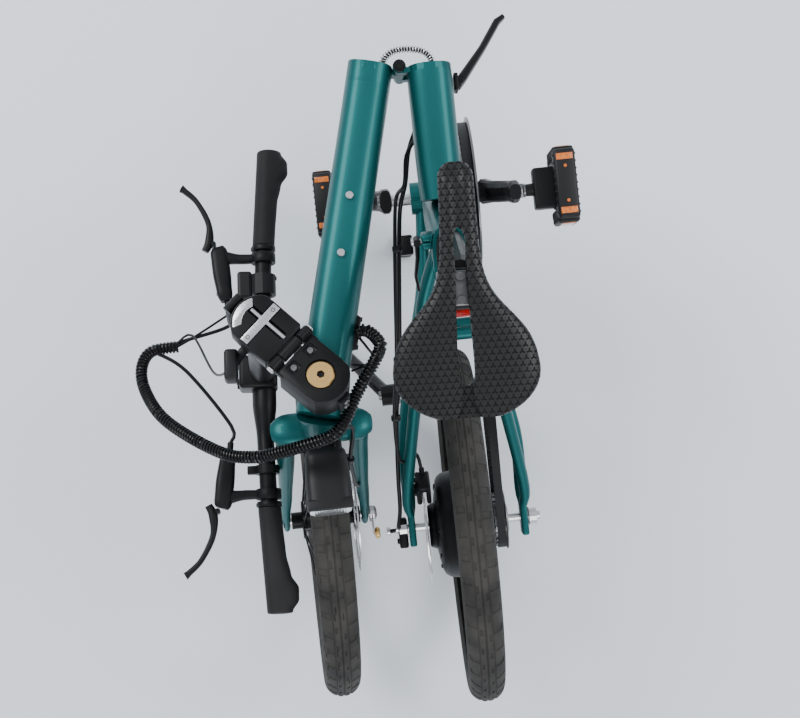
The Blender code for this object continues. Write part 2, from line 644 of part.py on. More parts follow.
def make_front_frame(front, steer_axis):
    """Everything here is drawn unfolded, in the rear half's frame, and carried by the hinge's empty."""
    home = (-PIN_X, -HINGE_Y, 0)
    lug_end = HINGE_Y + LUG_PLATE
    head_y = FRONT_AXLE_Y - FORK_RAKE * math.cos(HEAD_LEAN)
    head_z = WHEEL_R - FORK_RAKE * math.sin(HEAD_LEAN)
    joint = 0.353
    head = (0, head_y - joint * math.sin(HEAD_LEAN), head_z + joint * math.cos(HEAD_LEAN))
    main = solid("front_main_tube", tube([
        ((0, lug_end + GAP, HINGE_TUBE_Z), TUBE_HALF_W, TUBE_HALF_H),
        ((0, lug_end + 0.010, HINGE_TUBE_Z), TUBE_HALF_W, TUBE_HALF_H),
        ((0, lug_end + 0.05, HINGE_TUBE_Z + 0.004), TUBE_HALF_W, TUBE_HALF_H),
        ((0, head[1] - 0.04, head[2] - 0.004), 0.0285, TUBE_HALF_H),
        (head, 0.0255, 0.036),
    ], sides=20, power=2.7), FINISH["paint"], front, home)
    head_cut = guide("head_cut", rod(((0, 0, 0.2), (0, 0, 0.6)), HEAD_TUBE_R + GAP, SIDES), steer_axis)
    boolean(main, head_cut)
    profile = [(0.0185, HEAD_BOTTOM), (0.027, HEAD_BOTTOM), (HEAD_TUBE_R, HEAD_BOTTOM + 0.012),
               (HEAD_TUBE_R, HEAD_TOP - 0.012), (0.0265, HEAD_TOP), (0.0185, HEAD_TOP)]
    solid("head_tube", turned(profile, "Z"), FINISH["paint"], steer_axis)
    make_hinge_lug("hinge_lug_front", front, HINGE_Y + GAP, lug_end, ((0.5132, 0.5393),), home)


def make_fork(steer):
    paint = FINISH["paint"]
    crown_low, crown_high = 0.259, HEAD_BOTTOM - 0.003
    steerer = solid("fork_steerer", turned([(0, crown_low + 0.002), (0.0145, crown_low + 0.002), (0.0145, 0.4195),
                                            (0, 0.4195)], "Z", 20), paint, steer)
    crown = guide("fork_crown", tube([
        ((-0.060, 0.0, crown_low + 0.012), 0.013, 0.0110),
        ((-0.040, 0.0, (crown_low + crown_high) / 2), 0.021, 0.0130),
        ((0.040, 0.0, (crown_low + crown_high) / 2), 0.021, 0.0130),
        ((0.060, 0.0, crown_low + 0.012), 0.013, 0.0110),
    ], side=(0, 1, 0), sides=16, power=2.4), steer)
    boolean(steerer, crown, "UNION")
    for hand, name in ((-1, "left"), (1, "right")):
        leg = solid(f"fork_leg_{name}", tube([
            ((hand * 0.0475, 0.000, crown_low - 0.001), 0.0125, 0.0185),
            ((hand * 0.0480, 0.008, 0.200), 0.0120, 0.0175),
            ((hand * 0.0530, 0.030, 0.080), 0.0090, 0.0135),
            ((hand * 0.0560, 0.043, 0.026), 0.0070, 0.0125),
            ((hand * 0.0560, 0.050, -0.014), 0.0055, 0.0120),
        ], sides=12), paint, steer)
        hole = guide(f"fork_hole_{name}", rod(((hand * 0.045, 0, 0), (hand * 0.070, 0, 0)), 0.0052 + GAP, 12),
                     steer, (0, FORK_RAKE, 0))
        boolean(leg, hole)
    axle = turned([(0, -0.071), (0.0045, -0.071), (0.0045, -0.0690), (0.0100, -0.0690), (0.0100, -0.0625),
                   (0.0052, -0.0625), (0.0052, 0.0625), (0.0100, 0.0625), (0.0100, 0.0690), (0.0045, 0.0690),
                   (0.0045, 0.071), (0, 0.071)], "X", 12)
    solid("front_axle", axle, FINISH["steel"], steer, (0, FORK_RAKE, 0))

    base = solid("stem_base", stem_outline_block(0.4205, STEM_FACE - GAP), FINISH["black"], steer)
    stem_knuckles(base, steer, ((-0.032, -0.016), (0.016, 0.032)), -1)

    light = solid("headlight", tube([
        ((0, 0.038, 0.302), 0.020, 0.012),
        ((0, 0.052, 0.302), 0.027, 0.022),
        ((0, 0.112, 0.300), 0.028, 0.024),
        ((0, 0.120, 0.300), 0.025, 0.020),
    ], sides=16, power=4.0), FINISH["plastic"], steer)
    arm = guide("headlight_arm", block((-0.011, 0.0275, 0.291), (0.011, 0.045, 0.311), 0.002), steer)
    boolean(light, arm, "UNION")


def stem_frame():
    """The fold axis of the handlepost: its direction and the way across it, in the fork's frame."""
    along = Vector((math.cos(STEM_AXIS_TURN), math.sin(STEM_AXIS_TURN), 0))
    across = Vector((math.sin(STEM_AXIS_TURN), -math.cos(STEM_AXIS_TURN), 0))
    return along, across


def stem_outline_block(low, high):
    """Half of the stem hinge: a block round the steerer that reaches to the fold axis."""
    along, across = stem_frame()
    reach = STEM_OFFSET - 0.0075
    outline = [(reach, -0.030), (reach, 0.030)] + arc((0.0, 0.0), 0.034, 118, 242, 10)
    mesh = bmesh.new()
    face = mesh.faces.new([mesh.verts.new(across * a + along * b + Vector((0, 0, low))) for a, b in outline])
    grown = bmesh.ops.extrude_face_region(mesh, geom=[face])
    moved = [item for item in grown["geom"] if isinstance(item, bmesh.types.BMVert)]
    bmesh.ops.translate(mesh, verts=moved, vec=(0, 0, high - low))
    return mesh


def stem_knuckles(target, parent, spans, below, home=(0, 0, 0)):
    """Knuckles round the fold axis, joined to their half of the hinge by short arms."""
    along, across = stem_frame()
    tilt = along * math.cos(STEM_AXIS_TILT) + Vector((0, 0, math.sin(STEM_AXIS_TILT)))
    hinge = across * STEM_OFFSET + Vector((0, 0, STEM_FACE))
    for index, (first, last) in enumerate(spans):
        name = f"{target.name}_knuckle_{index}"
        ear = guide(name, rod((hinge + tilt * first, hinge + tilt * last), 0.0068, 14), parent, home)
        boolean(target, ear, "UNION")
        points = []
        for a, h in ((-0.010, below * 0.001), (0.0, below * 0.0010), (0.0, below * 0.0060), (-0.010, below * 0.014)):
            points.append((a, h))
        mesh = bmesh.new()
        low_face = [mesh.verts.new(hinge + across * a + along * (first + 0.001) + Vector((0, 0, h)))
                    for a, h in points]
        face = mesh.faces.new(low_face)
        grown = bmesh.ops.extrude_face_region(mesh, geom=[face])
        moved = [item for item in grown["geom"] if isinstance(item, bmesh.types.BMVert)]
        bmesh.ops.translate(mesh, verts=moved, vec=along * (last - first - 0.002))
        boolean(target, guide(f"{name}_arm", mesh, parent, home), "UNION")


# ---------------------------------------------------------------- handlepost and controls

def make_handlepost(post):
    """Drawn unfolded in the fork's frame, and carried by the stem hinge's empty."""
    along, across = stem_frame()
    home = -(across * STEM_OFFSET + Vector((0, 0, STEM_FACE)))
    black = FINISH["black"]
    top = solid("stem_hinge_top", stem_outline_block(STEM_FACE + GAP, STEM_FACE + 0.033), black, post, home)
    stem_knuckles(top, post, ((-0.0152, 0.0152),), 1, home)
    block_top = STEM_FACE + 0.033
    tube_mesh = tube([
        ((0, 0, block_top + GAP), 0.021, 0.021),
        ((0, 0, block_top + 0.03), 0.0185, 0.0185),
        ((0, 0, BAR_HEIGHT - 0.026), 0.0175, 0.0175),
    ], sides=20, power=2.0)
    solid("handlepost", tube_mesh, black, post, home)
    clamp = solid("bar_clamp", block((-0.022, -0.018, BAR_HEIGHT - 0.0256), (0.022, 0.034, BAR_HEIGHT + 0.020),
                                     0.005), black, post, home)
    hole = guide("bar_clamp_hole", rod(((-0.05, 0, BAR_HEIGHT), (0.05, 0, BAR_HEIGHT)), BAR_THICK_R + GAP, 20),
                 post, home)
    boolean(clamp, hole)
    solid("handlebar", tube([
        (bar_point(0.004 - BAR_HALF), BAR_R, BAR_R),
        (bar_point(-0.170), BAR_R, BAR_R),
        (bar_point(-0.080), BAR_R, BAR_R),
        (bar_point(-0.045), BAR_THICK_R, BAR_THICK_R),
        (bar_point(0.045), BAR_THICK_R, BAR_THICK_R),
        (bar_point(0.080), BAR_R, BAR_R),
        (bar_point(0.170), BAR_R, BAR_R),
        (bar_point(BAR_HALF - 0.004), BAR_R, BAR_R),
    ], side=(0, 1, 0), sides=14, power=2.0), black, post, home)
    for hand, name in ((-1, "left"), (1, "right")):
        make_grip(post, home, hand, name)
        make_brake(post, home, hand, name)
    make_control(post, home)
    make_stem_latch(post, home)


def bar_point(x):
    """The handlebar's centre at a distance along it."""
    out = abs(x)
    if out < 0.170:
        bend = max(0.0, out - 0.080) / 0.090
        return Vector((x, -0.003 * bend, BAR_HEIGHT + 0.001 * bend))
    bend = (out - 0.170) / (BAR_HALF - 0.004 - 0.170)
    return Vector((x, -0.003 - 0.009 * bend, BAR_HEIGHT + 0.001 + 0.003 * bend))


def make_grip(post, home, hand, name):
    """A rubber grip with a palm rest that widens towards the rider."""
    rings = []
    spans = ((0.000, 0.0150, 0.0150), (0.020, 0.0150, 0.0150), (0.060, 0.0155, 0.0160), (0.092, 0.0160, 0.0215),
             (0.108, 0.0160, 0.0290), (0.124, 0.0160, 0.0260), (BAR_HALF - GRIP_START, 0.0155, 0.0180))
    for out, thick, back in spans:
        centre = bar_point(hand * (GRIP_START + out))
        ring = []
        for step in range(16):
            angle = 2 * math.pi * step / 16
            c, s = math.cos(angle), math.sin(angle)
            reach = 0.0150 if c > 0 else back
            height = thick if c > 0 else thick - 0.004 * (back - 0.015) / 0.014 * -c
            ring.append(centre + Vector((0, c * reach, s * height)))
        rings.append(ring)
    grip = solid(f"grip_{name}", loft(rings), FINISH["rubber"], post, home)
    inner = bar_point(hand * (GRIP_START - 0.02))
    outer = bar_point(hand * (BAR_HALF - 0.0035))
    fit = BAR_R + 2 * GAP
    bore = guide(f"grip_bore_{name}", tube([(inner, fit, fit), (outer, fit, fit)], side=(0, 1, 0), sides=14, power=2.0),
                 post, home)
    boolean(grip, bore)


def make_brake(post, home, hand, name):
    """A hydraulic lever body clamped on the bar, and the blade that pivots on it."""
    x = hand * 0.160
    at = bar_point(x)
    ring = turned([(BAR_R + GAP, -0.007), (0.0165, -0.007), (0.0165, 0.007), (BAR_R + GAP, 0.007)], "X", 20)
    mount = solid(f"brake_mount_{name}", ring, FINISH["black"], post, home + at)
    neck = guide(f"brake_neck_{name}", tube([
        ((0, 0.0140, 0), 0.0065, 0.0080),
        ((hand * 0.002, 0.050, 0), 0.0080, 0.0075),
    ], sides=12, power=3.0), post, home + at)
    boolean(mount, neck, "UNION")
    body = guide(f"brake_body_{name}", tube([
        ((hand * 0.010, 0.058, 0), 0.0120, 0.0090),
        ((-hand * 0.018, 0.056, 0), 0.0125, 0.0100),
        ((-hand * 0.058, 0.050, 0), 0.0095, 0.0090),
    ], side=(0, 1, 0), sides=12, power=2.8), post, home + at)
    boolean(mount, body, "UNION")
    turn = empty(f"brake_lever_turn_{name}", post, home + at + Vector((hand * 0.020, 0.066, 0)))
    solid(f"brake_lever_{name}", tube([
        ((-hand * 0.008, 0.012, 0), 0.0055, 0.0050),
        ((hand * 0.006, 0.006, 0), 0.0060, 0.0055),
        ((hand * 0.032, 0.007, 0), 0.0045, 0.0050),
        ((hand * 0.062, 0.022, 0), 0.0042, 0.0055),
        ((hand * 0.080, 0.040, 0), 0.0050, 0.0060),
    ], side=(0, 1, 0), sides=10, power=2.6), FINISH["black"], turn)


def make_control(post, home):
    """The display and button pod on the left of the bar, with one push button."""
    at = bar_point(-0.122)
    ring = turned([(BAR_R + 0.0009, -0.014), (0.0175, -0.014), (0.0175, 0.014), (BAR_R + 0.0009, 0.014)], "X", 20)
    pad = solid("control_pad", ring, FINISH["plastic"], post, home + at)
    case = guide("control_case", block((-0.019, 0.0145, -0.010), (0.019, 0.034, 0.014), 0.004), post, home + at)
    boolean(pad, case, "UNION")
    well = guide("control_well", rod(((0, 0.024, 0.008), (0, 0.024, 0.03)), 0.0063, 16), post, home + at)
    boolean(pad, well)
    solid("control_button", turned([(0, 0.0105), (0.0058, 0.0105), (0.0058, 0.0155), (0.0048, 0.0165), (0, 0.0165)],
                                   "Z", 16), FINISH["rubber"], post, home + at + Vector((0, 0.024, 0)))


def make_stem_latch(post, home):
    """The lever that locks the stem hinge, lying along the handlepost on the side away from the hinge."""
    along, across = stem_frame()
    pivot = -across * 0.0405 + Vector((0, 0, STEM_FACE + 0.018))
    turn = empty("handlepost_latch_turn", post, home + pivot)
    out = -across
    lever = solid("handlepost_latch", tube([
        (Vector((0, 0, -0.0020)), 0.0110, 0.0045),
        (out * 0.0010 + Vector((0, 0, 0.016)), 0.0120, 0.0045),
        (out * 0.0015 + Vector((0, 0, 0.060)), 0.0110, 0.0045),
        (out * 0.0045 + Vector((0, 0, 0.096)), 0.0080, 0.0035),
    ], side=along, sides=12, power=3.0), FINISH["black"], turn)
    barrel = guide("handlepost_latch_barrel", rod((along * -0.0115, along * 0.0115), 0.0060, 16), turn)
    boolean(lever, barrel, "UNION")


# ---------------------------------------------------------------- cable loom

def smooth_route(points, spacing):
    """Evenly spaced points on the smooth curve through the given points."""
    dense = []
    count = len(points)
    for index in range(count - 1):
        p0 = points[max(index - 1, 0)]
        p1, p2 = points[index], points[index + 1]
        p3 = points[min(index + 2, count - 1)]
        for step in range(12):
            t = step / 12
            dense.append(0.5 * (2 * p1 + (p2 - p0) * t + (2 * p0 - 5 * p1 + 4 * p2 - p3) * t * t
                                + (3 * p1 - p0 - 3 * p2 + p3) * t * t * t))
    dense.append(points[-1])
    even = [dense[0]]
    for point in dense[1:]:
        if (point - even[-1]).length >= spacing:
            even.append(point)
    even[-1] = dense[-1]
    return even


LOOM_ROUTE = (
    (-0.051, 0.032, 0.585), (-0.040, 0.034, 0.586), (-0.026, 0.022, 0.594), (-0.025, 0.008, 0.600),
    (-0.051, -0.041, 0.604), (-0.073, -0.085, 0.604), (-0.118, -0.104, 0.592), (-0.168, -0.118, 0.566),
    (-0.209, -0.117, 0.545), (-0.261, -0.097, 0.510), (-0.303, -0.071, 0.480), (-0.329, -0.037, 0.450),
    (-0.334, -0.009, 0.436), (-0.323, 0.010, 0.424), (-0.292, 0.016, 0.414),
)


def make_loom(stand):
    """The wrapped bundle of hoses and leads from the frame's port round to the handlebar."""
    points = [Vector((x - STAND_X, y - STAND_Y, z)) for x, y, z in LOOM_ROUTE]
    points = [Matrix.Rotation(-REAR_YAW, 3, "Z") @ point for point in points]
    curve = bpy.data.curves.new("cable_loom", "CURVE")
    curve.dimensions = "3D"
    curve.bevel_depth = 0.0075
    curve.bevel_resolution = 2
    curve.use_fill_caps = True
    route = smooth_route(points, 0.018)
    spline = curve.splines.new("POLY")
    spline.points.add(len(route) - 1)
    for slot, point in zip(spline.points, route):
        slot.co = (*point, 1)
    curve.materials.append(FINISH["cable"])
    made = bpy.data.objects.new("cable_loom", curve)
    bpy.context.scene.collection.objects.link(made)
    made.parent = stand


# ---------------------------------------------------------------- assembly

def main():
    clear_scene()
    make_finishes()
    stand = empty("stand", None, (STAND_X + ORIGIN_X, STAND_Y + ORIGIN_Y, 0), Quaternion((0, 0, 1), REAR_YAW))
    seat = empty("seat_axis", stand, (0, 0, BRACKET_Z), Quaternion((1, 0, 0), SEAT_LEAN))
    front = empty("main_hinge", stand, (PIN_X, HINGE_Y, 0), Quaternion((0, 0, 1), MAIN_FOLD))
    axis_y = FRONT_AXLE_Y - FORK_RAKE * math.cos(HEAD_LEAN)
    axis_z = WHEEL_R - FORK_RAKE * math.sin(HEAD_LEAN)
    steer_axis = empty("steering_axis", front, (-PIN_X, axis_y - HINGE_Y, axis_z), Quaternion((1, 0, 0), HEAD_LEAN))
    steer = empty("steering", steer_axis, (0, 0, 0), Quaternion((0, 0, 1), STEER_TURN))
    along, across = stem_frame()
    fold_axis = along * math.cos(STEM_AXIS_TILT) + Vector((0, 0, math.sin(STEM_AXIS_TILT)))
    hinge = across * STEM_OFFSET + Vector((0, 0, STEM_FACE))
    post = empty("stem_hinge", steer, hinge, Quaternion(fold_axis, STEM_FOLD))

    make_rear_frame(stand, seat)
    rear_hub = [(0.0068, -0.056), (0.030, -0.056), (0.034, -0.046), (0.070, -0.040), (0.074, -0.034),
                (0.074, 0.016), (0.070, 0.022), (0.034, 0.027), (0.030, 0.034), (0.0068, 0.034)]
    rear_holder = empty("rear_wheel", stand, (0, REAR_AXLE_Y, WHEEL_R))
    rear_spin = make_wheel("rear", rear_holder, 0.0700, rear_hub, "hub_motor", 32, 0.013, 0.0)
    solid("rear_rotor", turned(rotor_profile(-0.0585, 0.0222), "X", 32), FINISH["steel"], rear_spin)
    make_caliper("rear_brake_caliper", stand, (0, REAR_AXLE_Y + 0.058, WHEEL_R + 0.044), math.radians(-53),
                 -0.0585, -1)
    make_drive(stand)
    make_seat(seat)
    make_stands(stand)
    make_frame_latch(stand)

    make_front_frame(front, steer_axis)
    make_fork(steer)
    front_hub = [(0.0056, -0.0485), (0.0120, -0.0485), (0.0120, -0.034), (0.026, -0.033), (0.026, -0.029),
                 (0.016, -0.026), (0.016, 0.026), (0.026, 0.029), (0.026, 0.033), (0.0120, 0.034),
                 (0.0120, 0.0485), (0.0056, 0.0485)]
    front_holder = empty("front_wheel", steer, (0, FORK_RAKE, 0))
    front_spin = make_wheel("front", front_holder, 0.0240, front_hub, "front_hub", 20, 0.031, -math.radians(19.9))
    solid("front_rotor", turned(rotor_profile(-0.0405, 0.0125), "X", 32), FINISH["steel"], front_spin)
    make_caliper("front_brake_caliper", steer, (0, FORK_RAKE - 0.052, 0.052), math.radians(45), -0.0405, -1)
    make_handlepost(post)
    make_loom(stand)


main()
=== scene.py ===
"""Folding electric bicycle with a belt drive, folded and standing on its wheels and stands.

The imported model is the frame. Each piece is drawn in the plain place of its own half of the bicycle,
x to the rider's right, y forward and z up, and carried into the folded pose by that half's matrix.
"""

import json
import math

import bmesh
import bpy
from mathutils import Matrix, Vector


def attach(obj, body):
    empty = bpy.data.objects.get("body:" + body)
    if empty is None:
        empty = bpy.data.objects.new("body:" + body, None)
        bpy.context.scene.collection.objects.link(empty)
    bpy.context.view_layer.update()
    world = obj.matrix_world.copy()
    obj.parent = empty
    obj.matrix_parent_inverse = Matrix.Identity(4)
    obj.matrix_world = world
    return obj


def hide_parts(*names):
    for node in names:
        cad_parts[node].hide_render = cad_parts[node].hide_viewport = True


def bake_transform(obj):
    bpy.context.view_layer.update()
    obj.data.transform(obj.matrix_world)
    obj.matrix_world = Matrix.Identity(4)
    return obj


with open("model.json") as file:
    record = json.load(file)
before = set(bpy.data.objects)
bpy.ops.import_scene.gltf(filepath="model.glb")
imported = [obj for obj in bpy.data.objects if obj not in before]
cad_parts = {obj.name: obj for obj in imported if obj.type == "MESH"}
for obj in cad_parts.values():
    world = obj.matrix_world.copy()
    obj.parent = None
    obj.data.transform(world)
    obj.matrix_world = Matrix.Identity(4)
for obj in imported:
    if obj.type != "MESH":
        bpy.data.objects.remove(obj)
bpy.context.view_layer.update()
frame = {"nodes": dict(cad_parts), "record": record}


# ---------------------------------------------------------------- camera, floor and light
# The bicycle is seen from straight above, from a little over two metres, with a short telephoto lens.
# The floor is a pale sheet, lit by three soft panels and an even room.

eye = bpy.data.cameras.new("eye")
eye.lens = 63.0
eye.sensor_width = 36.0
eye.clip_end = 30.0
camera = bpy.data.objects.new("camera", eye)
camera.location = (0.0558, 0.0283, 2.250)
bpy.context.scene.collection.objects.link(camera)
bpy.context.scene.camera = camera


class Value:
    """A number or colour that runs through a material's nodes."""

    def __init__(self, tree, socket):
        self.tree = tree
        self.socket = socket

    def plug(self, target):
        self.tree.links.new(self.socket, target)

    def maths(self, operation, *others):
        return node(self.tree, "ShaderNodeMath", {"operation": operation}, self, *others)

    def __add__(self, other):
        return self.maths("ADD", other)

    def __sub__(self, other):
        return self.maths("SUBTRACT", other)

    def __mul__(self, other):
        return self.maths("MULTIPLY", other)

    def __rsub__(self, other):
        return node(self.tree, "ShaderNodeMath", {"operation": "SUBTRACT"}, other, self)

    def __gt__(self, other):
        return self.maths("GREATER_THAN", other)

    __radd__ = __add__
    __rmul__ = __mul__


def node(tree, kind, settings=None, *inputs, output=0, **named):
    """A node with its settings made first and then its sockets filled with values or links."""
    made = tree.nodes.new(kind)
    for key, value in (settings or {}).items():
        setattr(made, key, value)
    pairs = list(zip(made.inputs, inputs))
    pairs += [(made.inputs[key.replace("_", " ").title()], value) for key, value in named.items()]
    for socket, value in pairs:
        if isinstance(value, Value):
            value.plug(socket)
        elif value is not None:
            socket.default_value = value
    return Value(tree, made.outputs[output])


def finish(name, colour, roughness, metallic=0.0, coat=0.0, gloss=0.5):
    """A material with plain values, and its tree, its shader and its place on the piece."""
    made = bpy.data.materials.new(name)
    made.use_nodes = True
    tree = made.node_tree
    shader = tree.nodes["Principled BSDF"]
    shader.inputs["Base Color"].default_value = (*colour, 1.0)
    shader.inputs["Roughness"].default_value = roughness
    shader.inputs["Metallic"].default_value = metallic
    shader.inputs["Coat Weight"].default_value = coat
    shader.inputs["Coat Roughness"].default_value = 0.08
    shader.inputs["Specular IOR Level"].default_value = gloss
    place = node(tree, "ShaderNodeTexCoord", output=3)
    return made, tree, shader, place


def noise(tree, place, scale, detail=3.0):
    return node(tree, "ShaderNodeTexNoise", None, vector=place, scale=scale, detail=detail)


def blended(tree, amount, low, high):
    """A colour between two, by an amount from 0 to 1."""
    made = tree.nodes.new("ShaderNodeMix")
    made.data_type = "RGBA"
    made.inputs[6].default_value = (*low, 1.0)
    made.inputs[7].default_value = (*high, 1.0)
    amount.plug(made.inputs[0])
    return Value(tree, made.outputs[2])


def ramped(tree, value, low, high, start=0.0, end=1.0):
    """A number carried from one range to another."""
    return node(tree, "ShaderNodeMapRange", None, value, low, high, start, end)


def bumped(tree, shader, height, depth, strength=1.0):
    """A relief of so many metres from a height of 0 to 1."""
    relief = node(tree, "ShaderNodeBump", None, distance=depth, strength=strength, height=height)
    relief.plug(shader.inputs["Normal"])


def paper_finish():
    made, tree, shader, place = finish("floor_sheet", (0.84, 0.88, 0.93), 0.75)
    cloud = noise(tree, place, 2.0)
    blended(tree, cloud, (0.80, 0.845, 0.90), (0.85, 0.89, 0.935)).plug(shader.inputs["Base Color"])
    return made


floor_mesh = bmesh.new()
bmesh.ops.create_grid(floor_mesh, x_segments=1, y_segments=1, size=6.0)
floor_data = bpy.data.meshes.new("floor")
floor_mesh.to_mesh(floor_data)
floor_mesh.free()
floor_data.materials.append(paper_finish())
floor = bpy.data.objects.new("floor", floor_data)
bpy.context.scene.collection.objects.link(floor)

room = bpy.data.worlds.new("room")
room.use_nodes = True
room.node_tree.nodes["Background"].inputs["Color"].default_value = (0.90, 0.94, 1.0, 1.0)
room.node_tree.nodes["Background"].inputs["Strength"].default_value = 0.92
bpy.context.scene.world = room
for name, place, size, power in (
    ("panel_left", (-1.7, 1.5, 2.6), 1.6, 62.0),
    ("panel_right", (1.9, 0.6, 2.4), 1.4, 36.0),
    ("panel_near", (0.2, -2.2, 2.2), 1.4, 26.0),
):
    lamp = bpy.data.lights.new(name, "AREA")
    lamp.shape = "DISK"
    lamp.size = size
    lamp.energy = power
    panel = bpy.data.objects.new(name, lamp)
    panel.location = place
    panel.rotation_mode = "QUATERNION"
    panel.rotation_quaternion = (Vector((0, 0, 0.3)) - Vector(place)).to_track_quat("-Z", "Y")
    bpy.context.scene.collection.objects.link(panel)


# ---------------------------------------------------------------- the two halves and their joints
# The rear half stands 6 degrees off straight. The front half is folded round the hinge pin on its left,
# the fork is turned in the head tube, and the handlepost is folded down beside the front wheel.

hinge_places = {joint["name"]: joint for joint in frame["record"]["behaviour"]["joints"]}
bracket = Vector(hinge_places["crank_spin"]["pos_m"])
wheel_radius = 0.250
rear_axle_y = -0.463
hinge_face_y = 0.131
pin_place = Vector((-0.036, hinge_face_y, 0))
halves_turn = math.radians(6.0)
frame_folded = math.radians(166.0)
seat_lean = math.radians(18.5)
head_lean = math.radians(20.5)
steered = math.radians(14.5)
post_folded = math.radians(174.0)
fork_rake = 0.050
stem_face = 0.470
stem_turn = math.radians(43.0)
stem_tilt = math.radians(-2.3)


def turn_about(point, angle, axis):
    """A turn about an axis through a point."""
    return Matrix.Translation(point) @ Matrix.Rotation(angle, 4, axis) @ Matrix.Translation(-Vector(point))


rear_half = Matrix.Translation((bracket.x, bracket.y, 0)) @ Matrix.Rotation(halves_turn, 4, "Z")
seat_line = rear_half @ Matrix.Translation((0, 0, bracket.z)) @ Matrix.Rotation(seat_lean, 4, "X")
rear_hub_place = rear_half @ Matrix.Translation((0, rear_axle_y, wheel_radius))
front_half = rear_half @ turn_about(pin_place, frame_folded, "Z")
head_foot = Vector((0, 0.722 - fork_rake * math.cos(head_lean),
                    wheel_radius - fork_rake * math.sin(head_lean)))
head_line = front_half @ Matrix.Translation(head_foot) @ Matrix.Rotation(head_lean, 4, "X")
fork_place = head_line @ Matrix.Rotation(steered, 4, "Z")
front_hub_place = fork_place @ Matrix.Translation((0, fork_rake, 0))
fold_along = Vector((math.cos(stem_turn), math.sin(stem_turn), 0))
fold_across = Vector((math.sin(stem_turn), -math.cos(stem_turn), 0))
fold_axis = fold_along * math.cos(stem_tilt) + Vector((0, 0, math.sin(stem_tilt)))
fold_place = fold_across * 0.046 + Vector((0, 0, stem_face))
post_place = fork_place @ turn_about(fold_place, post_folded, fold_axis)


def piece(name, mesh, place, skin, body=None, sharp=38.0):
    """A finished object, from a bmesh drawn in one of the bicycle's own frames."""
    bmesh.ops.remove_doubles(mesh, verts=mesh.verts, dist=1e-6)
    bmesh.ops.transform(mesh, matrix=place, verts=mesh.verts)
    bmesh.ops.recalc_face_normals(mesh, faces=mesh.faces)
    data = bpy.data.meshes.new(name)
    mesh.to_mesh(data)
    mesh.free()
    data.shade_smooth()
    data.set_sharp_from_angle(angle=math.radians(sharp))
    data.materials.append(skin)
    made = bpy.data.objects.new(name, data)
    bpy.context.scene.collection.objects.link(made)
    if body:
        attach(made, body)
    return made


def joined(*meshes):
    """One bmesh that holds several, the others emptied into the first."""
    whole = meshes[0]
    for other in meshes[1:]:
        carried = bpy.data.meshes.new("carried")
        other.to_mesh(carried)
        other.free()
        whole.from_mesh(carried)
        bpy.data.meshes.remove(carried)
    return whole


def turned(profile, steps=64, axis="Z", closed=True):
    """A shape turned from a profile of (radius, height) round an axis."""
    mesh = bmesh.new()
    loop = [mesh.verts.new((radius, 0, height)) for radius, height in profile]
    ends = loop[1:] + loop[:1] if closed else loop[1:]
    edges = [mesh.edges.new((here, after)) for here, after in zip(loop, ends)
             if here.co.x > 0 or after.co.x > 0]
    bmesh.ops.spin(mesh, geom=loop + edges, axis=(0, 0, 1), angle=2 * math.pi, steps=steps, use_merge=True)
    bmesh.ops.remove_doubles(mesh, verts=mesh.verts, dist=1e-6)
    if axis == "X":
        bmesh.ops.rotate(mesh, verts=mesh.verts, matrix=Matrix.Rotation(math.pi / 2, 3, "Y"))
    if axis == "Y":
        bmesh.ops.rotate(mesh, verts=mesh.verts, matrix=Matrix.Rotation(-math.pi / 2, 3, "X"))
    return mesh


def smooth_route(points, spacing):
    """Points about a spacing apart on the smooth curve through the given ones."""
    points = [Vector(point) for point in points]
    found = []
    for index in range(len(points) - 1):
        p0, p1 = points[max(index - 1, 0)], points[index]
        p2, p3 = points[index + 1], points[min(index + 2, len(points) - 1)]
        steps = max(2, round((p2 - p1).length / spacing))
        for step in range(steps):
            t = step / steps
            found.append(0.5 * (2 * p1 + (p2 - p0) * t + (2 * p0 - 5 * p1 + 4 * p2 - p3) * t * t
                                + (3 * p1 - p0 - 3 * p2 + p3) * t * t * t))
    return found + [points[-1]]


def swept(stations, side=(1, 0, 0), sides=16, power=2.0):
    """A closed form drawn out through (centre, half width, half height); width lies along side."""
    centres = [Vector(station[0]) for station in stations]
    side = Vector(side)
    mesh = bmesh.new()
    face = None
    across = side
    for index, (centre, half_w, half_h) in enumerate(stations):
        along = centres[min(index + 1, len(centres) - 1)] - centres[max(index - 1, 0)]
        along.normalize()
        across = across - along * across.dot(along)
        if across.length < 1e-4:
            across = along.orthogonal()
        across.normalize()
        up = along.cross(across)
        ring = []
        for step in range(sides):
            angle = 2 * math.pi * (step + 0.5) / sides
            c, s = math.cos(angle), math.sin(angle)
            ring.append(Vector(centre) + across * math.copysign(abs(c) ** (2 / power), c) * half_w
                        + up * math.copysign(abs(s) ** (2 / power), s) * half_h)
        if face is None:
            face = mesh.faces.new([mesh.verts.new(point) for point in ring])
            continue
        last = face
        grown = bmesh.ops.extrude_face_region(mesh, geom=[last])
        face = next(item for item in grown["geom"] if isinstance(item, bmesh.types.BMFace))
        for vertex, point in zip(face.verts, ring):
            vertex.co = point
        if index > 1:
            bmesh.ops.delete(mesh, geom=[last], context="FACES_ONLY")
    return mesh


def hose(route, radius, sides=12, spacing=0.006):
    """A round hose, lead or wire along a route."""
    points = smooth_route(route, spacing)
    return swept([(point, radius, radius) for point in points], side=(0.31, 0.55, 0.77), sides=sides)


def bar(first, last, radius, sides=20, soft=0.0006):
    """A straight round bar with softened ends."""
    first, last = Vector(first), Vector(last)
    lip = (last - first).normalized() * soft
    return swept([(first, radius - soft, radius - soft), (first + lip, radius, radius),
                  (last - lip, radius, radius), (last, radius - soft, radius - soft)],
                 side=(0.31, 0.55, 0.77), sides=sides)


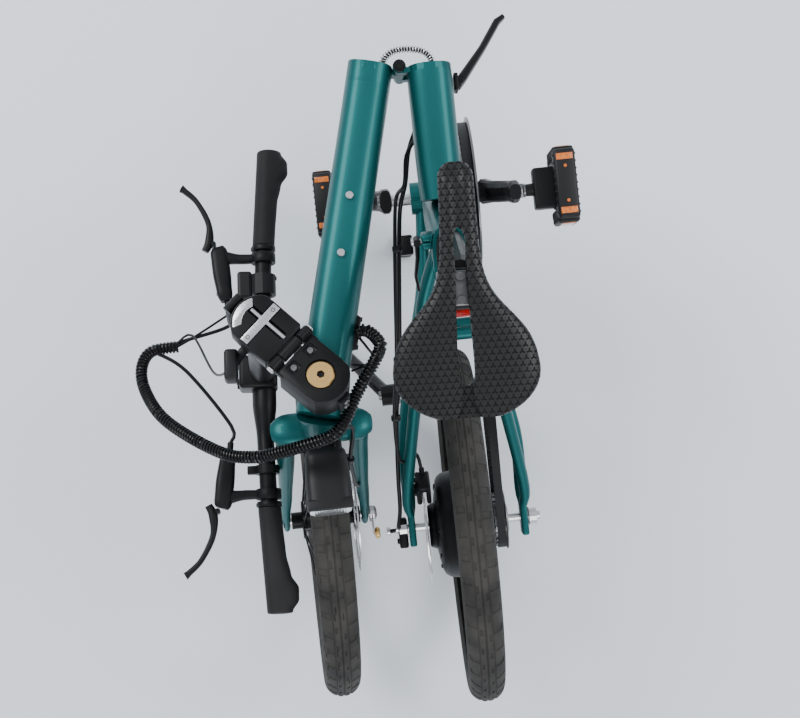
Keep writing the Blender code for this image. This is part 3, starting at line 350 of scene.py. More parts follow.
def block(low, high, soft=0.0015, segments=3):
    """A block between two corners with rounded edges."""
    mesh = bmesh.new()
    bmesh.ops.create_cube(mesh, size=1.0)
    low, high = Vector(low), Vector(high)
    bmesh.ops.scale(mesh, verts=mesh.verts, vec=high - low)
    bmesh.ops.translate(mesh, verts=mesh.verts, vec=(low + high) / 2)
    bmesh.ops.bevel(mesh, geom=mesh.edges[:], offset=soft, segments=segments, profile=0.5,
                    affect="EDGES", material=-1)
    return mesh


def cut_plate(outline, low, high, soft=0.0006):
    """A flat plate from an outline of (a, b), between two heights, with its rims softened."""
    mesh = bmesh.new()
    face = mesh.faces.new([mesh.verts.new((a, b, low)) for a, b in outline])
    grown = bmesh.ops.extrude_face_region(mesh, geom=[face])
    moved = [item for item in grown["geom"] if isinstance(item, bmesh.types.BMVert)]
    bmesh.ops.translate(mesh, verts=moved, vec=(0, 0, high - low))
    rims = [edge for edge in mesh.edges if abs(edge.verts[0].co.z - edge.verts[1].co.z) < 1e-7]
    if soft > 0:
        bmesh.ops.bevel(mesh, geom=rims, offset=soft, segments=2, profile=0.5, affect="EDGES", material=-1)
    return mesh


def bolt(place, towards, head=0.0045, height=0.004):
    """A bolt head with a hexagon socket, standing on a surface and pointing outwards."""
    mesh = bmesh.new()
    lower = bmesh.ops.create_circle(mesh, cap_ends=True, radius=head, segments=24)["verts"]
    face = lower[0].link_faces[0]
    for lift, size in ((height - 0.0008, 1.0), (0.0008, 0.86)):
        grown = bmesh.ops.extrude_face_region(mesh, geom=[face])
        face = next(item for item in grown["geom"] if isinstance(item, bmesh.types.BMFace))
        bmesh.ops.translate(mesh, verts=face.verts, vec=(0, 0, lift))
        bmesh.ops.scale(mesh, verts=face.verts, vec=(size, size, 1))
    bmesh.ops.delete(mesh, geom=[face], context="FACES_ONLY")
    rim = [edge for edge in mesh.edges if edge.is_boundary]
    socket = bmesh.ops.create_circle(mesh, cap_ends=True, radius=head * 0.52, segments=6)["verts"]
    hexagon = socket[0].link_faces[0]
    bmesh.ops.translate(mesh, verts=socket, vec=(0, 0, height))
    outer = list(hexagon.edges)
    grown = bmesh.ops.extrude_face_region(mesh, geom=[hexagon])
    sunk = next(item for item in grown["geom"] if isinstance(item, bmesh.types.BMFace))
    bmesh.ops.translate(mesh, verts=sunk.verts, vec=(0, 0, -height * 0.6))
    bmesh.ops.delete(mesh, geom=[item for item in (hexagon,) if item.is_valid], context="FACES_ONLY")
    bmesh.ops.bridge_loops(mesh, edges=rim + [edge for edge in outer if edge.is_valid])
    turn = Vector((0, 0, 1)).rotation_difference(Vector(towards)).to_matrix().to_4x4()
    bmesh.ops.transform(mesh, matrix=Matrix.Translation(place) @ turn, verts=mesh.verts)
    return mesh


def dress(skin, *names):
    """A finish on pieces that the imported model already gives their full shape."""
    for name in names:
        item = frame["nodes"][name]
        for slot in item.material_slots:
            slot.material = skin


# ---------------------------------------------------------------- rear frame
# Welded aluminium, painted a deep metallic teal under clear lacquer: the hinge end of the main tube,
# seat tube, bottom bracket and two pairs of stays.

def teal_finish():
    made, tree, shader, place = finish("teal_lacquer", (0.002, 0.100, 0.104), 0.40, 0.60, coat=0.10,
                                       gloss=0.35)
    flake = node(tree, "ShaderNodeTexVoronoi", None, vector=place, scale=2600.0, output=1)
    grey = node(tree, "ShaderNodeSeparateColor", None, flake)
    drift = noise(tree, place, 9.0)
    amount = grey * 0.55 + drift * 0.35
    blended(tree, amount, (0.0014, 0.072, 0.077), (0.0040, 0.132, 0.132)).plug(shader.inputs["Base Color"])
    ramped(tree, grey, 0.0, 1.0, 0.38, 0.50).plug(shader.inputs["Roughness"])
    bumped(tree, shader, noise(tree, place, 320.0, 1.0), 0.00005, 0.35)
    return made


teal = teal_finish()
dress(teal, "bottom_bracket_shell", "hinge_lug_rear", "hinge_lug_front", "head_tube")


def drawn_tube(stations, side=(1, 0, 0), sides=48, power=2.6, spacing=0.008):
    """A tube that changes smoothly through stations of (centre, half width, half height)."""
    centres = smooth_route([station[0] for station in stations], spacing)
    sizes = []
    for index in range(len(stations) - 1):
        here, after = stations[index], stations[index + 1]
        steps = max(2, round((Vector(after[0]) - Vector(here[0])).length / spacing))
        for step in range(steps):
            t = step / steps
            t = t * t * (3 - 2 * t)
            sizes.append((here[1] + (after[1] - here[1]) * t, here[2] + (after[2] - here[2]) * t))
    sizes.append(stations[-1][1:])
    return swept([(centre, w, h) for centre, (w, h) in zip(centres, sizes)], side, sides, power)


def squared(mesh, low, high):
    """A tube whose two ends are pulled square to its length."""
    for vertex in mesh.verts:
        vertex.co.y = min(max(vertex.co.y, low), high)
    return mesh


def tube_piece(name, nodes, mesh, place, body, skin=None):
    """A tube drawn finely, standing for its plain solid."""
    made = piece(name, mesh, place, skin or teal, body)
    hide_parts(*nodes)
    return made


tube_piece("rear_tube", ["rear_main_tube"], squared(drawn_tube([
    ((0, -0.030, 0.519), 0.0262, 0.0405), ((0, 0.020, 0.523), 0.0275, 0.040),
    ((0, 0.112, 0.530), 0.0275, 0.040), ((0, 0.1216, 0.530), 0.0275, 0.040)],
    power=3.0), -1.0, hinge_face_y - 0.0004), rear_half, "rear_frame")
for hand, side_name in ((-1, "left"), (1, "right")):
    tube_piece(f"{side_name}_chainstay", [f"chainstay_{side_name}"], joined(drawn_tube([
        ((hand * 0.0200, -0.018, 0.2865), 0.009, 0.013), ((hand * 0.029, -0.115, 0.281), 0.009, 0.013),
        ((hand * 0.046, -0.190, 0.274), 0.009, 0.012), ((hand * 0.070, -0.290, 0.266), 0.009, 0.011),
        ((hand * 0.080, -0.350, 0.261), 0.009, 0.010), ((hand * 0.080, -0.420, 0.254), 0.009, 0.010),
        ((hand * 0.080, -0.445, 0.250), 0.0055, 0.016)], sides=28, power=2.2),
        block((hand * 0.080 - 0.0050, -0.488, 0.2330), (hand * 0.080 + 0.0050, -0.436, 0.2690), 0.003)),
        rear_half, "rear_frame")
    tube_piece(f"{side_name}_seatstay", [f"seatstay_{side_name}"], joined(drawn_tube([
        ((hand * 0.012, -0.092, 0.474), 0.009, 0.014), ((hand * 0.034, -0.150, 0.448), 0.009, 0.013),
        ((hand * 0.046, -0.220, 0.405), 0.009, 0.012), ((hand * 0.080, -0.400, 0.300), 0.008, 0.009),
        ((hand * 0.080, -0.4400, 0.2760), 0.006, 0.009)], sides=28, power=2.2)), rear_half, "rear_frame")
seat_outer = drawn_tube([((0, 0, 0.024), 0.019, 0.025), ((0, 0, 0.120), 0.021, 0.036),
                         ((0, 0, 0.3379), 0.021, 0.036)], power=3.2)
tube_piece("seat_pillar", ["seat_tube"], joined(
    seat_outer, block((-0.0330, 0.008, 0.309), (-0.0170, 0.0168, 0.332), 0.003),
    block((-0.0330, 0.0174, 0.309), (-0.0170, 0.026, 0.332), 0.003)), seat_line, "rear_frame")
bridge = joined(
    bar((-0.040, -0.196, 0.419), (0.040, -0.196, 0.419), 0.0085, 28),
    bar((-0.044, -0.180, 0.275), (0.044, -0.180, 0.275), 0.0080, 28),
)
piece("stay_bridges", bridge, rear_half, teal, "rear_frame")


def black_metal_finish():
    made, tree, shader, place = finish("black_anodised", (0.008, 0.008, 0.0085), 0.38, 0.5, coat=0.0,
                                       gloss=0.30)
    grain = noise(tree, place, 1400.0, 2.0)
    wear = noise(tree, place, 22.0)
    blended(tree, wear, (0.006, 0.006, 0.0065), (0.013, 0.013, 0.014)).plug(shader.inputs["Base Color"])
    ramped(tree, wear, 0.3, 0.7, 0.34, 0.50).plug(shader.inputs["Roughness"])
    bumped(tree, shader, grain, 0.00004, 0.4)
    return made


def steel_finish(name, colour, low, high):
    made, tree, shader, place = finish(name, colour, low, 1.0)
    stretch = node(tree, "ShaderNodeMapping", None, vector=place, scale=(60.0, 60.0, 900.0))
    scratch = noise(tree, stretch, 4.0, 4.0)
    ramped(tree, scratch, 0.3, 0.7, low, high).plug(shader.inputs["Roughness"])
    bumped(tree, shader, scratch, 0.00003, 0.3)
    return made


def plastic_finish(name, colour, roughness, grain=1800.0, depth=0.00006):
    made, tree, shader, place = finish(name, colour, roughness, gloss=0.28)
    speckle = noise(tree, place, grain, 2.0)
    drift = noise(tree, place, 30.0)
    lighter = tuple(part * 1.5 for part in colour)
    blended(tree, drift, colour, lighter).plug(shader.inputs["Base Color"])
    bumped(tree, shader, speckle, depth, 0.6)
    return made


black_metal = black_metal_finish()
bright_steel = steel_finish("bright_steel", (0.62, 0.62, 0.63), 0.20, 0.36)
dark_steel = steel_finish("dark_steel", (0.20, 0.20, 0.205), 0.28, 0.42)
gold = steel_finish("gold_anodised", (0.80, 0.52, 0.20), 0.20, 0.30)
black_plastic = plastic_finish("black_plastic", (0.0060, 0.0060, 0.0065), 0.44)
hose_rubber = plastic_finish("hose_rubber", (0.0045, 0.0045, 0.005), 0.36, 900.0, 0.00002)


# ---------------------------------------------------------------- main hinge and its lock
# A pin through the plates' knuckles, and a long black lever on the rear half that locks the tube.

dress(black_metal, "frame_latch_lever")
pin_caps = joined(
    bolt(pin_place + Vector((0, 0, 0.563)), (0, 0, 1), head=0.0052, height=0.002),
    bolt(pin_place + Vector((0, 0, 0.484)), (0, 0, -1), head=0.0052, height=0.002),
)
piece("hinge_pin_caps", pin_caps, rear_half, black_metal, "rear_frame")
latch_pivot = joined(
    block((0.0290, 0.100, 0.506), (0.0345, 0.120, 0.540), 0.0015),
    bolt((0.0365, 0.110, 0.5345), (0, 0, 1), head=0.0046, height=0.003),
)
piece("latch_bracket", latch_pivot, rear_half, black_metal, "rear_frame")


# ---------------------------------------------------------------- wheels
# Twenty inch wheels: a wide tyre with a grooved tread and cut shoulders, a black double-walled rim,
# thin black spokes on a geared motor behind and a small hub in front, and a slotted steel disc.

def tyre_finish():
    made, tree, shader, place = finish("tyre_rubber", (0.036, 0.034, 0.032), 0.78, gloss=0.25)
    dust = noise(tree, place, 28.0, 6.0)
    fine = noise(tree, place, 700.0, 3.0)
    amount = ramped(tree, dust, 0.30, 0.72)
    blended(tree, amount, (0.024, 0.023, 0.022), (0.050, 0.047, 0.043)).plug(shader.inputs["Base Color"])
    bumped(tree, shader, fine, 0.00020, 0.7)
    return made


tyre_rubber = tyre_finish()


def tread_depth(x):
    """How far the tread is cut at a place across the tyre."""
    out = abs(x)
    if out < 0.0013:
        return 0.0017
    if 0.0078 < out < 0.0096:
        return 0.0014
    return 0.0


def tyre_mesh():
    middle, outer, half = 0.2255, wheel_radius, 0.025
    outside, inside = [], []
    for step in range(61):
        angle = math.radians(-38 + 256 * step / 60)
        x = half * math.cos(angle)
        rise = math.sin(angle)
        crown = (outer - middle) * (rise ** 0.92 if rise > 0 else rise)
        outside.append((middle + crown - tread_depth(x) * (angle > 0), x))
    for step in range(13):
        angle = math.radians(-38 + 256 * step / 12)
        inside.append((middle + (outer - middle - 0.005) * math.sin(angle), (half - 0.004) * math.cos(angle)))
    steps = 150
    mesh = turned(outside + inside[::-1], steps, "X")
    cuts = []
    for face in mesh.faces:
        centre = face.calc_center_median()
        radius = math.hypot(centre.y, centre.z)
        column = math.floor((math.atan2(centre.z, centre.y) / (2 * math.pi) % 1.0) * steps)
        out = abs(centre.x)
        phase = column if centre.x > 0 else column + 1
        if radius > 0.234 and 0.0115 < out < 0.0225 and phase % 3 == 0:
            cuts.append(face)
        if radius > 0.240 and 0.0030 < out < 0.0066 and phase % 3 == 1:
            cuts.append(face)
    bmesh.ops.inset_region(mesh, faces=cuts, thickness=0.0007, depth=-0.0013, use_even_offset=True)
    return mesh


def rim_mesh():
    profile = [(0.2072, -0.0128), (0.2050, -0.0108), (0.2025, -0.0060), (0.2025, 0.0060), (0.2050, 0.0108),
               (0.2072, 0.0128), (0.2066, 0.0138), (0.1975, 0.0130), (0.1915, 0.0096), (0.1880, 0.0040),
               (0.1880, -0.0040), (0.1915, -0.0096), (0.1975, -0.0130), (0.2066, -0.0138)]
    return turned(profile, 120, "X")


def spoke_mesh(flange_x, flange_r, lean, count, phase):
    spokes = []
    for index in range(count):
        angle = 2 * math.pi * (index + phase) / count
        hand = 1 if index % 2 else -1
        first = Vector((hand * flange_x, flange_r * math.sin(angle + hand * lean),
                        flange_r * math.cos(angle + hand * lean)))
        last = Vector((hand * flange_x * 0.15, 0.1895 * math.sin(angle), 0.1895 * math.cos(angle)))
        along = (last - first).normalized()
        spokes.append(swept([(first, 0.0010, 0.0010), (last, 0.0010, 0.0010)], sides=6))
        spokes.append(swept([(last - along * 0.014, 0.0017, 0.0017), (last, 0.0020, 0.0020)], sides=8))
    return joined(*spokes)


def disc_mesh(x, hole, bolts):
    """A brake disc: a slotted ring on six bent arms round a bolted centre."""
    mesh = bmesh.new()
    radii = (0.0640, 0.0675, 0.0695, 0.0745, 0.0765, 0.0800)
    loop = [mesh.verts.new((radius, 0, 0)) for radius in radii]
    edges = [mesh.edges.new(pair) for pair in zip(loop, loop[1:])]
    bmesh.ops.spin(mesh, geom=loop + edges, axis=(0, 0, 1), angle=2 * math.pi, steps=96, use_merge=True)
    bmesh.ops.remove_doubles(mesh, verts=mesh.verts, dist=1e-6)
    gone = []
    for face in mesh.faces:
        centre = face.calc_center_median()
        radius = centre.xy.length
        column = math.floor((math.atan2(centre.y, centre.x) / (2 * math.pi) % 1.0) * 96)
        if (0.0675 < radius < 0.0695 and column % 4 < 2) or (0.0745 < radius < 0.0765 and column % 4 > 1):
            gone.append(face)
    bmesh.ops.delete(mesh, geom=gone, context="FACES")
    bmesh.ops.solidify(mesh, geom=mesh.faces[:], thickness=0.0018)
    bmesh.ops.translate(mesh, verts=mesh.verts, vec=(0, 0, -0.0009))
    arms = []
    for index in range(6):
        angle = 2 * math.pi * index / 6
        points = []
        for step in range(7):
            t = step / 6
            radius = hole + 0.004 + (0.0655 - hole - 0.004) * t
            bent = angle + 0.55 * t
            points.append((Vector((radius * math.cos(bent), radius * math.sin(bent), 0)), 0.0032, 0.0008))
        arms.append(swept(points, side=(-math.sin(angle), math.cos(angle), 0), sides=8, power=4.0))
    centre = turned([(hole, -0.0009), (hole + 0.012, -0.0009), (hole + 0.012, 0.0009), (hole, 0.0009)], 48)
    heads = [bolt(Vector((math.cos(a), math.sin(a), 0)) * (hole + 0.007) + Vector((0, 0, bolts * 0.0009)),
                  (0, 0, bolts), head=0.0028, height=0.0018)
             for a in [2 * math.pi * index / 6 for index in range(6)]]
    whole = joined(mesh, centre, *arms, *heads)
    bmesh.ops.transform(whole, matrix=Matrix.Translation((x, 0, 0)) @ Matrix.Rotation(math.pi / 2, 4, "Y"),
                        verts=whole.verts)
    return whole


for end, place in (("rear", rear_hub_place), ("front", front_hub_place)):
    tyre = piece(f"{end}_tyre_tread", tyre_mesh(), place, tyre_rubber, f"{end}_wheel", sharp=28.0)
    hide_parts(f"{end}_tyre")
    rim = piece(f"{end}_rim_wall", rim_mesh(), place, black_metal, f"{end}_wheel")
    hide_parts(f"{end}_rim")
    valve = joined(bar((0, 0, 0.188), (0, 0, 0.164), 0.0022, 12),
                   bar((0, 0, 0.168), (0, 0, 0.158), 0.0032, 12))
    piece(f"{end}_valve", valve, place @ Matrix.Rotation(0.7, 4, "X"), black_plastic, f"{end}_wheel")

motor_profile = [(0.0070, -0.056), (0.0280, -0.056), (0.0300, -0.0545), (0.0330, -0.0470), (0.0640, -0.0415),
                 (0.0700, -0.0380), (0.0740, -0.0320), (0.0760, -0.0200), (0.0790, -0.0170),
                 (0.0790, -0.0145), (0.0755, -0.0110), (0.0755, 0.0110), (0.0790, 0.0130), (0.0790, 0.0155),
                 (0.0740, 0.0175), (0.0700, 0.0215), (0.0400, 0.0260), (0.0340, 0.0280), (0.0300, 0.0340),
                 (0.0070, 0.0340)]
motor_bolts = []
for index in range(9):
    around = 2 * math.pi * index / 9
    motor_bolts.append(bolt((-0.0423, 0.058 * math.sin(around), 0.058 * math.cos(around)), (-1, 0, 0),
                            head=0.0030, height=0.0022))
motor = piece("hub_motor_shell", joined(turned(motor_profile, 72, "X"), *motor_bolts), rear_hub_place,
              black_metal, "rear_wheel")
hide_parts("hub_motor")
piece("rear_spokes", spoke_mesh(0.0155, 0.0770, 0.32, 36, 0.4), rear_hub_place, black_metal, "rear_wheel")
rear_disc = piece("rear_disc", disc_mesh(-0.0585, 0.0222, -1), rear_hub_place, bright_steel, "rear_wheel")
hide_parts("rear_rotor")

hub_profile = [(0.0057, -0.0488), (0.0115, -0.0488), (0.0120, -0.0483), (0.0120, -0.0345), (0.0262, -0.0335),
               (0.0268, -0.0325), (0.0262, -0.0300), (0.0180, -0.0275), (0.0155, -0.0220), (0.0155, 0.0220),
               (0.0180, 0.0275), (0.0262, 0.0300), (0.0268, 0.0325), (0.0262, 0.0335), (0.0120, 0.0345),
               (0.0120, 0.0483), (0.0115, 0.0488), (0.0057, 0.0488)]
front_hub = piece("front_hub_shell", turned(hub_profile, 56, "X"), front_hub_place, black_metal,
                  "front_wheel")
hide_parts("front_hub")
piece("front_spokes", spoke_mesh(0.0315, 0.0240, 0.5, 28, 0.4), front_hub_place, black_metal, "front_wheel")
front_disc = piece("front_disc", disc_mesh(-0.0405, 0.0125, -1), front_hub_place, bright_steel, "front_wheel")
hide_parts("front_rotor")


def caliper_mesh(rotor_x):
    """A two-piece caliper with its bolts, piston cap and fluid inlet."""
    low, high = rotor_x - 0.0105, rotor_x + 0.0098
    halves = joined(
        block((low, -0.021, -0.012), (rotor_x - 0.0030, 0.021, 0.016), 0.0035),
        block((rotor_x + 0.0030, -0.021, -0.012), (high, 0.021, 0.016), 0.0035),
        block((low + 0.001, -0.018, 0.0075), (high - 0.001, 0.018, 0.0175), 0.003),
        bolt((low, -0.013, 0.006), (-1, 0, 0), head=0.0038, height=0.003),
        bolt((low, 0.013, 0.006), (-1, 0, 0), head=0.0038, height=0.003),
        turned([(0.0, low - 0.0025), (0.0085, low - 0.0025), (0.0095, low), (0.0095, low + 0.003),
                (0.0, low + 0.003)], 32, "X"),
        bar((rotor_x, 0.014, 0.016), (rotor_x, 0.018, 0.024), 0.0038, 16),
    )
    return halves


rear_caliper_place = rear_half @ Matrix.Translation((0, rear_axle_y + 0.058, wheel_radius + 0.044)) \
    @ Matrix.Rotation(math.radians(-53), 4, "X")
front_caliper_place = fork_place @ Matrix.Translation((0, fork_rake - 0.052, 0.052)) \
    @ Matrix.Rotation(math.radians(45), 4, "X")
for end, place, x, body in (("rear", rear_caliper_place, -0.0585, "rear_frame"),
                            ("front", front_caliper_place, -0.0405, "fork")):
    made = piece(f"{end}_caliper", caliper_mesh(x), place, black_metal, body)
    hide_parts(f"{end}_brake_caliper")

dress(bright_steel, "rear_axle", "front_axle", "crank_spindle")
for place, out, body, name in ((rear_hub_place, 0.0865, "rear_frame", "rear"),
                               (front_hub_place, 0.0625, "fork", "front")):
    nuts = []
    for hand in (-1, 1):
        washer = turned([(0.0062, hand * out), (0.0128, hand * out), (0.0128, hand * (out + 0.0012)),
                         (0.0062, hand * (out + 0.0012))], 40, "X")
        nut = turned([(0.0062, hand * (out + 0.0012)), (0.0100, hand * (out + 0.0012)),
                      (0.0100, hand * (out + 0.0085)), (0.0062, hand * (out + 0.0105))], 6, "X")
        nuts += [washer, nut]
    piece(f"{name}_axle_nuts", joined(*nuts), place, dark_steel, body, sharp=25.0)


# ---------------------------------------------------------------- cranks, pulleys and belt
# Forged black cranks, a large front pulley with a dark steel guard ring, a small one on the wheel, and a
# toothed rubber belt that runs round both.

dress(black_metal, "crank_arm_right", "crank_arm_left")
crank_place = rear_half @ Matrix.Translation((0, 0, bracket.z)) @ Matrix.Rotation(math.radians(8.0), 4, "X")
belt_x = 0.045
big_r, small_r = 0.0963, 0.0385


def toothed_ring(radius, bore, low, high, teeth):
    """A pulley's rim, with a groove for each tooth of the belt."""
    mesh = turned([(bore, low), (radius, low), (radius, high), (bore, high)], teeth * 4, "X")
    grooves = []
    for face in mesh.faces:
        centre = face.calc_center_median()
        column = math.floor((math.atan2(centre.z, centre.y) / (2 * math.pi) % 1.0) * teeth * 4)
        if math.hypot(centre.y, centre.z) > radius - 0.001 and low < centre.x < high and column % 4 < 2:
            grooves.append(face)
    bmesh.ops.inset_region(mesh, faces=grooves, thickness=0.0003, depth=-0.0020, use_even_offset=True)
    return mesh


spider = []
for index in range(5):
    around = 2 * math.pi * index / 5
    reach = [Vector((belt_x + 0.001, r * math.sin(around), r * math.cos(around)))
             for r in (0.012, 0.045, 0.086)]
    spider.append(swept([(reach[0], 0.015, 0.003), (reach[1], 0.009, 0.0026), (reach[2], 0.008, 0.0024)],
                        side=(0, math.cos(around), -math.sin(around)), sides=12, power=3.4))
    spider.append(bolt(reach[2] * 0.98 + Vector((0.0045, 0, 0)), (1, 0, 0), head=0.0042, height=0.0022))
hub_boss = turned([(0.0088, belt_x - 0.004), (0.020, belt_x - 0.004), (0.022, belt_x),
                   (0.019, belt_x + 0.010), (0.0088, belt_x + 0.010)], 48, "X")
big_ring = toothed_ring(0.0938, 0.080, belt_x - 0.007, belt_x + 0.0068, 55)
front_pulley = piece("front_pulley_rim", joined(big_ring, hub_boss, *spider), crank_place, black_metal,
                     "crank", sharp=30.0)
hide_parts("front_pulley")
guard = turned([(0.0840, belt_x + 0.0070), (0.1045, belt_x + 0.0070), (0.1050, belt_x + 0.0076),
                (0.1050, belt_x + 0.0094), (0.1045, belt_x + 0.0100), (0.0850, belt_x + 0.0112),
                (0.0840, belt_x + 0.0104)], 96, "X")
piece("front_pulley_guard", guard, crank_place, dark_steel, "crank")
small = joined(
    toothed_ring(0.0360, 0.0082, belt_x - 0.0085, belt_x + 0.0068, 22),
    turned([(0.0240, belt_x + 0.0070), (0.0425, belt_x + 0.0070), (0.0430, belt_x + 0.0080),
            (0.0425, belt_x + 0.0090), (0.0240, belt_x + 0.0105)], 64, "X"),
    turned([(0.0082, belt_x + 0.0068), (0.0200, belt_x + 0.0068), (0.0190, belt_x + 0.0118),
            (0.0082, belt_x + 0.0118)], 40, "X"),
)
rear_pulley = piece("rear_pulley_rim", small, rear_hub_place, dark_steel, "rear_pulley", sharp=30.0)
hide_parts("rear_pulley")

crank_caps = joined(*[bolt((hand * 0.0775, 0, 0), (hand, 0, 0), head=0.0085, height=0.003)
                      for hand in (-1, 1)])
piece("crank_bolts", crank_caps, crank_place, dark_steel, "crank")

span = math.hypot(rear_axle_y, bracket.z - wheel_radius)
tilt = math.atan2(wheel_radius - bracket.z, rear_axle_y)
wrap = math.acos((big_r - small_r) / span)


def belt_route(offset, spacing):
    """Points of (place, outward direction) round the belt at a distance from its middle line."""
    found = []
    for centre, radius, first, last in (
        (Vector((0, bracket.z)), big_r, tilt + wrap, tilt + 2 * math.pi - wrap),
        (Vector((rear_axle_y, wheel_radius)), small_r, tilt + 2 * math.pi - wrap, tilt + 2 * math.pi + wrap),
    ):
        steps = max(6, round(radius * (last - first) / spacing))
        for step in range(steps + 1):
            angle = first + (last - first) * step / steps
            out = Vector((math.cos(angle), math.sin(angle)))
            found.append((centre + out * (radius + offset), out))
    return found


band = bmesh.new()
rails = []
for offset in (0.0018, -0.0010):
    loop = [band.verts.new((belt_x - 0.0058, place.x, place.y)) for place, out in belt_route(offset, 0.006)]
    rails += [band.edges.new(pair) for pair in zip(loop, loop[1:] + loop[:1])]
strip = bmesh.ops.bridge_loops(band, edges=rails)["faces"]
grown = bmesh.ops.extrude_face_region(band, geom=strip)
bmesh.ops.translate(band, verts=[item for item in grown["geom"] if isinstance(item, bmesh.types.BMVert)],
                    vec=(0.0116, 0, 0))
route = belt_route(-0.0009, 0.0005)
teeth = []
total = 0.0
marks = []
for here, after in zip(route, route[1:] + route[:1]):
    step = (after[0] - here[0]).length
    while len(marks) * 0.011 < total + step and step > 0:
        part = (len(marks) * 0.011 - total) / step
        marks.append((here[0].lerp(after[0], part), here[1].lerp(after[1], part).normalized()))
    total += step
for place, out in marks[:-1]:
    sideways = Vector((-out.y, out.x))
    outline = [place + sideways * a - out * b
               for a, b in ((-0.0030, 0.0), (0.0030, 0.0), (0.0021, 0.0017), (-0.0021, 0.0017))]
    tooth = bmesh.new()
    face = tooth.faces.new([tooth.verts.new((belt_x - 0.0057, point.x, point.y)) for point in outline])
    pulled = bmesh.ops.extrude_face_region(tooth, geom=[face])
    pulled_points = [item for item in pulled["geom"] if isinstance(item, bmesh.types.BMVert)]
    bmesh.ops.translate(tooth, verts=pulled_points, vec=(0.0114, 0, 0))
    teeth.append(tooth)
belt_rubber = plastic_finish("belt_rubber", (0.014, 0.014, 0.015), 0.6, 1200.0)
belt = piece("belt_toothed", joined(band, *teeth), rear_half, belt_rubber, "rear_frame", sharp=30.0)
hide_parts("belt")


# ---------------------------------------------------------------- folding pedals
# A spindle housing that screws into the crank, a hinge across it, and a moulded cage with cut-outs,
# amber reflectors round its edge.

def reflector_finish(name, colour):
    made, tree, shader, place = finish(name, colour, 0.12, 0.0, coat=1.0)
    prism = node(tree, "ShaderNodeTexVoronoi", None, vector=place, scale=420.0)
    dark = tuple(part * 0.55 for part in colour)
    blended(tree, prism * 1.4, colour, dark).plug(shader.inputs["Base Color"])
    bumped(tree, shader, prism, 0.0005, 0.6)
    # The faint emission is a painted glow: the reflectors are no lamps, and it stands in for the light they
    # throw back.
    shader.inputs["Emission Color"].default_value = (*colour, 1.0)
    shader.inputs["Emission Strength"].default_value = 0.06
    return made


amber = reflector_finish("amber_reflector", (0.85, 0.20, 0.01))
dress(black_metal, "pedal_body_right", "pedal_body_left")
for hand, side_name in ((1, "right"), (-1, "left")):
    level = Matrix.Rotation(math.radians(-8.0), 4, "X")
    spin = crank_place @ Matrix.Translation((0, 0, hand * 0.160)) @ level
    fold = spin @ Matrix.Translation((hand * 0.150, 0, 0))
    housing = joined(
        bar((hand * 0.1035, 0, 0), (hand * 0.1075, 0, 0), 0.0098, 6, soft=0.0004),
        bar((hand * 0.1080, 0, 0), (hand * 0.1110, 0, 0), 0.0090, 28),
        bolt((hand * 0.150, 0.0268, 0), (0, 1, 0), head=0.0050, height=0.0022),
        bolt((hand * 0.150, -0.0268, 0), (0, -1, 0), head=0.0050, height=0.0022),
    )
    piece(f"pedal_hinge_pins_{side_name}", housing, spin, dark_steel, f"pedal_body_{side_name}")
    low_x, high_x = sorted((hand * -0.0035, hand * 0.0240))
    frame_parts = [
        block((low_x, -0.0485, -0.0300), (high_x, -0.0285, 0.0280), 0.0030),
        block((low_x, 0.0285, -0.0300), (high_x, 0.0485, 0.0280), 0.0030),
        block((low_x, -0.0400, -0.0400), (high_x, -0.0290, -0.0290), 0.0030),
        block((low_x, 0.0290, -0.0400), (high_x, 0.0400, -0.0290), 0.0030),
        block((low_x, -0.0440, 0.0190), (high_x, 0.0440, 0.0390), 0.0040),
        block((low_x + 0.004, -0.0285, 0.0170), (high_x - 0.004, 0.0285, 0.0240), 0.0015),
    ]
    for rib in range(-4, 5):
        frame_parts.append(block((low_x - 0.0010, rib * 0.0092 - 0.0012, 0.0215),
                                 (high_x + 0.0010, rib * 0.0092 + 0.0012, 0.0365), 0.0008, 2))
    for row in (-0.024, -0.014, -0.004, 0.006, 0.016):
        for edge in (-1, 1):
            frame_parts.append(block((low_x - 0.0010, edge * 0.0385 - 0.0075, row - 0.0012),
                                     (high_x + 0.0010, edge * 0.0385 + 0.0075, row + 0.0012), 0.0008, 2))
    cage = piece(f"pedal_cage_moulding_{side_name}", joined(*frame_parts), fold, black_plastic,
                 f"pedal_cage_{side_name}")
    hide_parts(f"pedal_cage_{side_name}")
    middle_x = (low_x + high_x) / 2
    lamps = joined(
        block((middle_x - 0.0085, -0.0496, -0.0150), (middle_x + 0.0085, -0.0478, 0.0220), 0.0008),
        block((middle_x - 0.0085, 0.0478, -0.0150), (middle_x + 0.0085, 0.0496, 0.0220), 0.0008),
    )
    piece(f"pedal_reflectors_{side_name}", lamps, fold, amber, f"pedal_cage_{side_name}")
    clips = joined(*[joined(
        block((middle_x - 0.0105, edge * 0.034 - 0.004, 0.0385),
              (middle_x + 0.0105, edge * 0.034 + 0.004, 0.0398), 0.0005),
        bolt((middle_x, edge * 0.022, 0.0388), (0, 0, 1), head=0.0022, height=0.0014),
    ) for edge in (-1, 1)])
    piece(f"pedal_top_reflectors_{side_name}", clips, fold, amber, f"pedal_cage_{side_name}")


# ---------------------------------------------------------------- seatpost, saddle and tail light
# A flat-sided black post that slides in the teal seat tube and carries a slim saddle on two rails.
# The saddle is padded, with a slot along its middle, a notch between its two rear lobes and a pressed
# pattern of three-armed stars.

dress(black_metal, "seatpost", "seat_clamp_lever")
saddle_place = seat_line @ Matrix.Translation((0, 0, 0.482)) @ Matrix.Rotation(math.radians(-18.5), 4, "X") \
    @ Matrix.Rotation(math.radians(-2.5), 4, "Z")
saddle_length, saddle_front = 0.272, 0.132


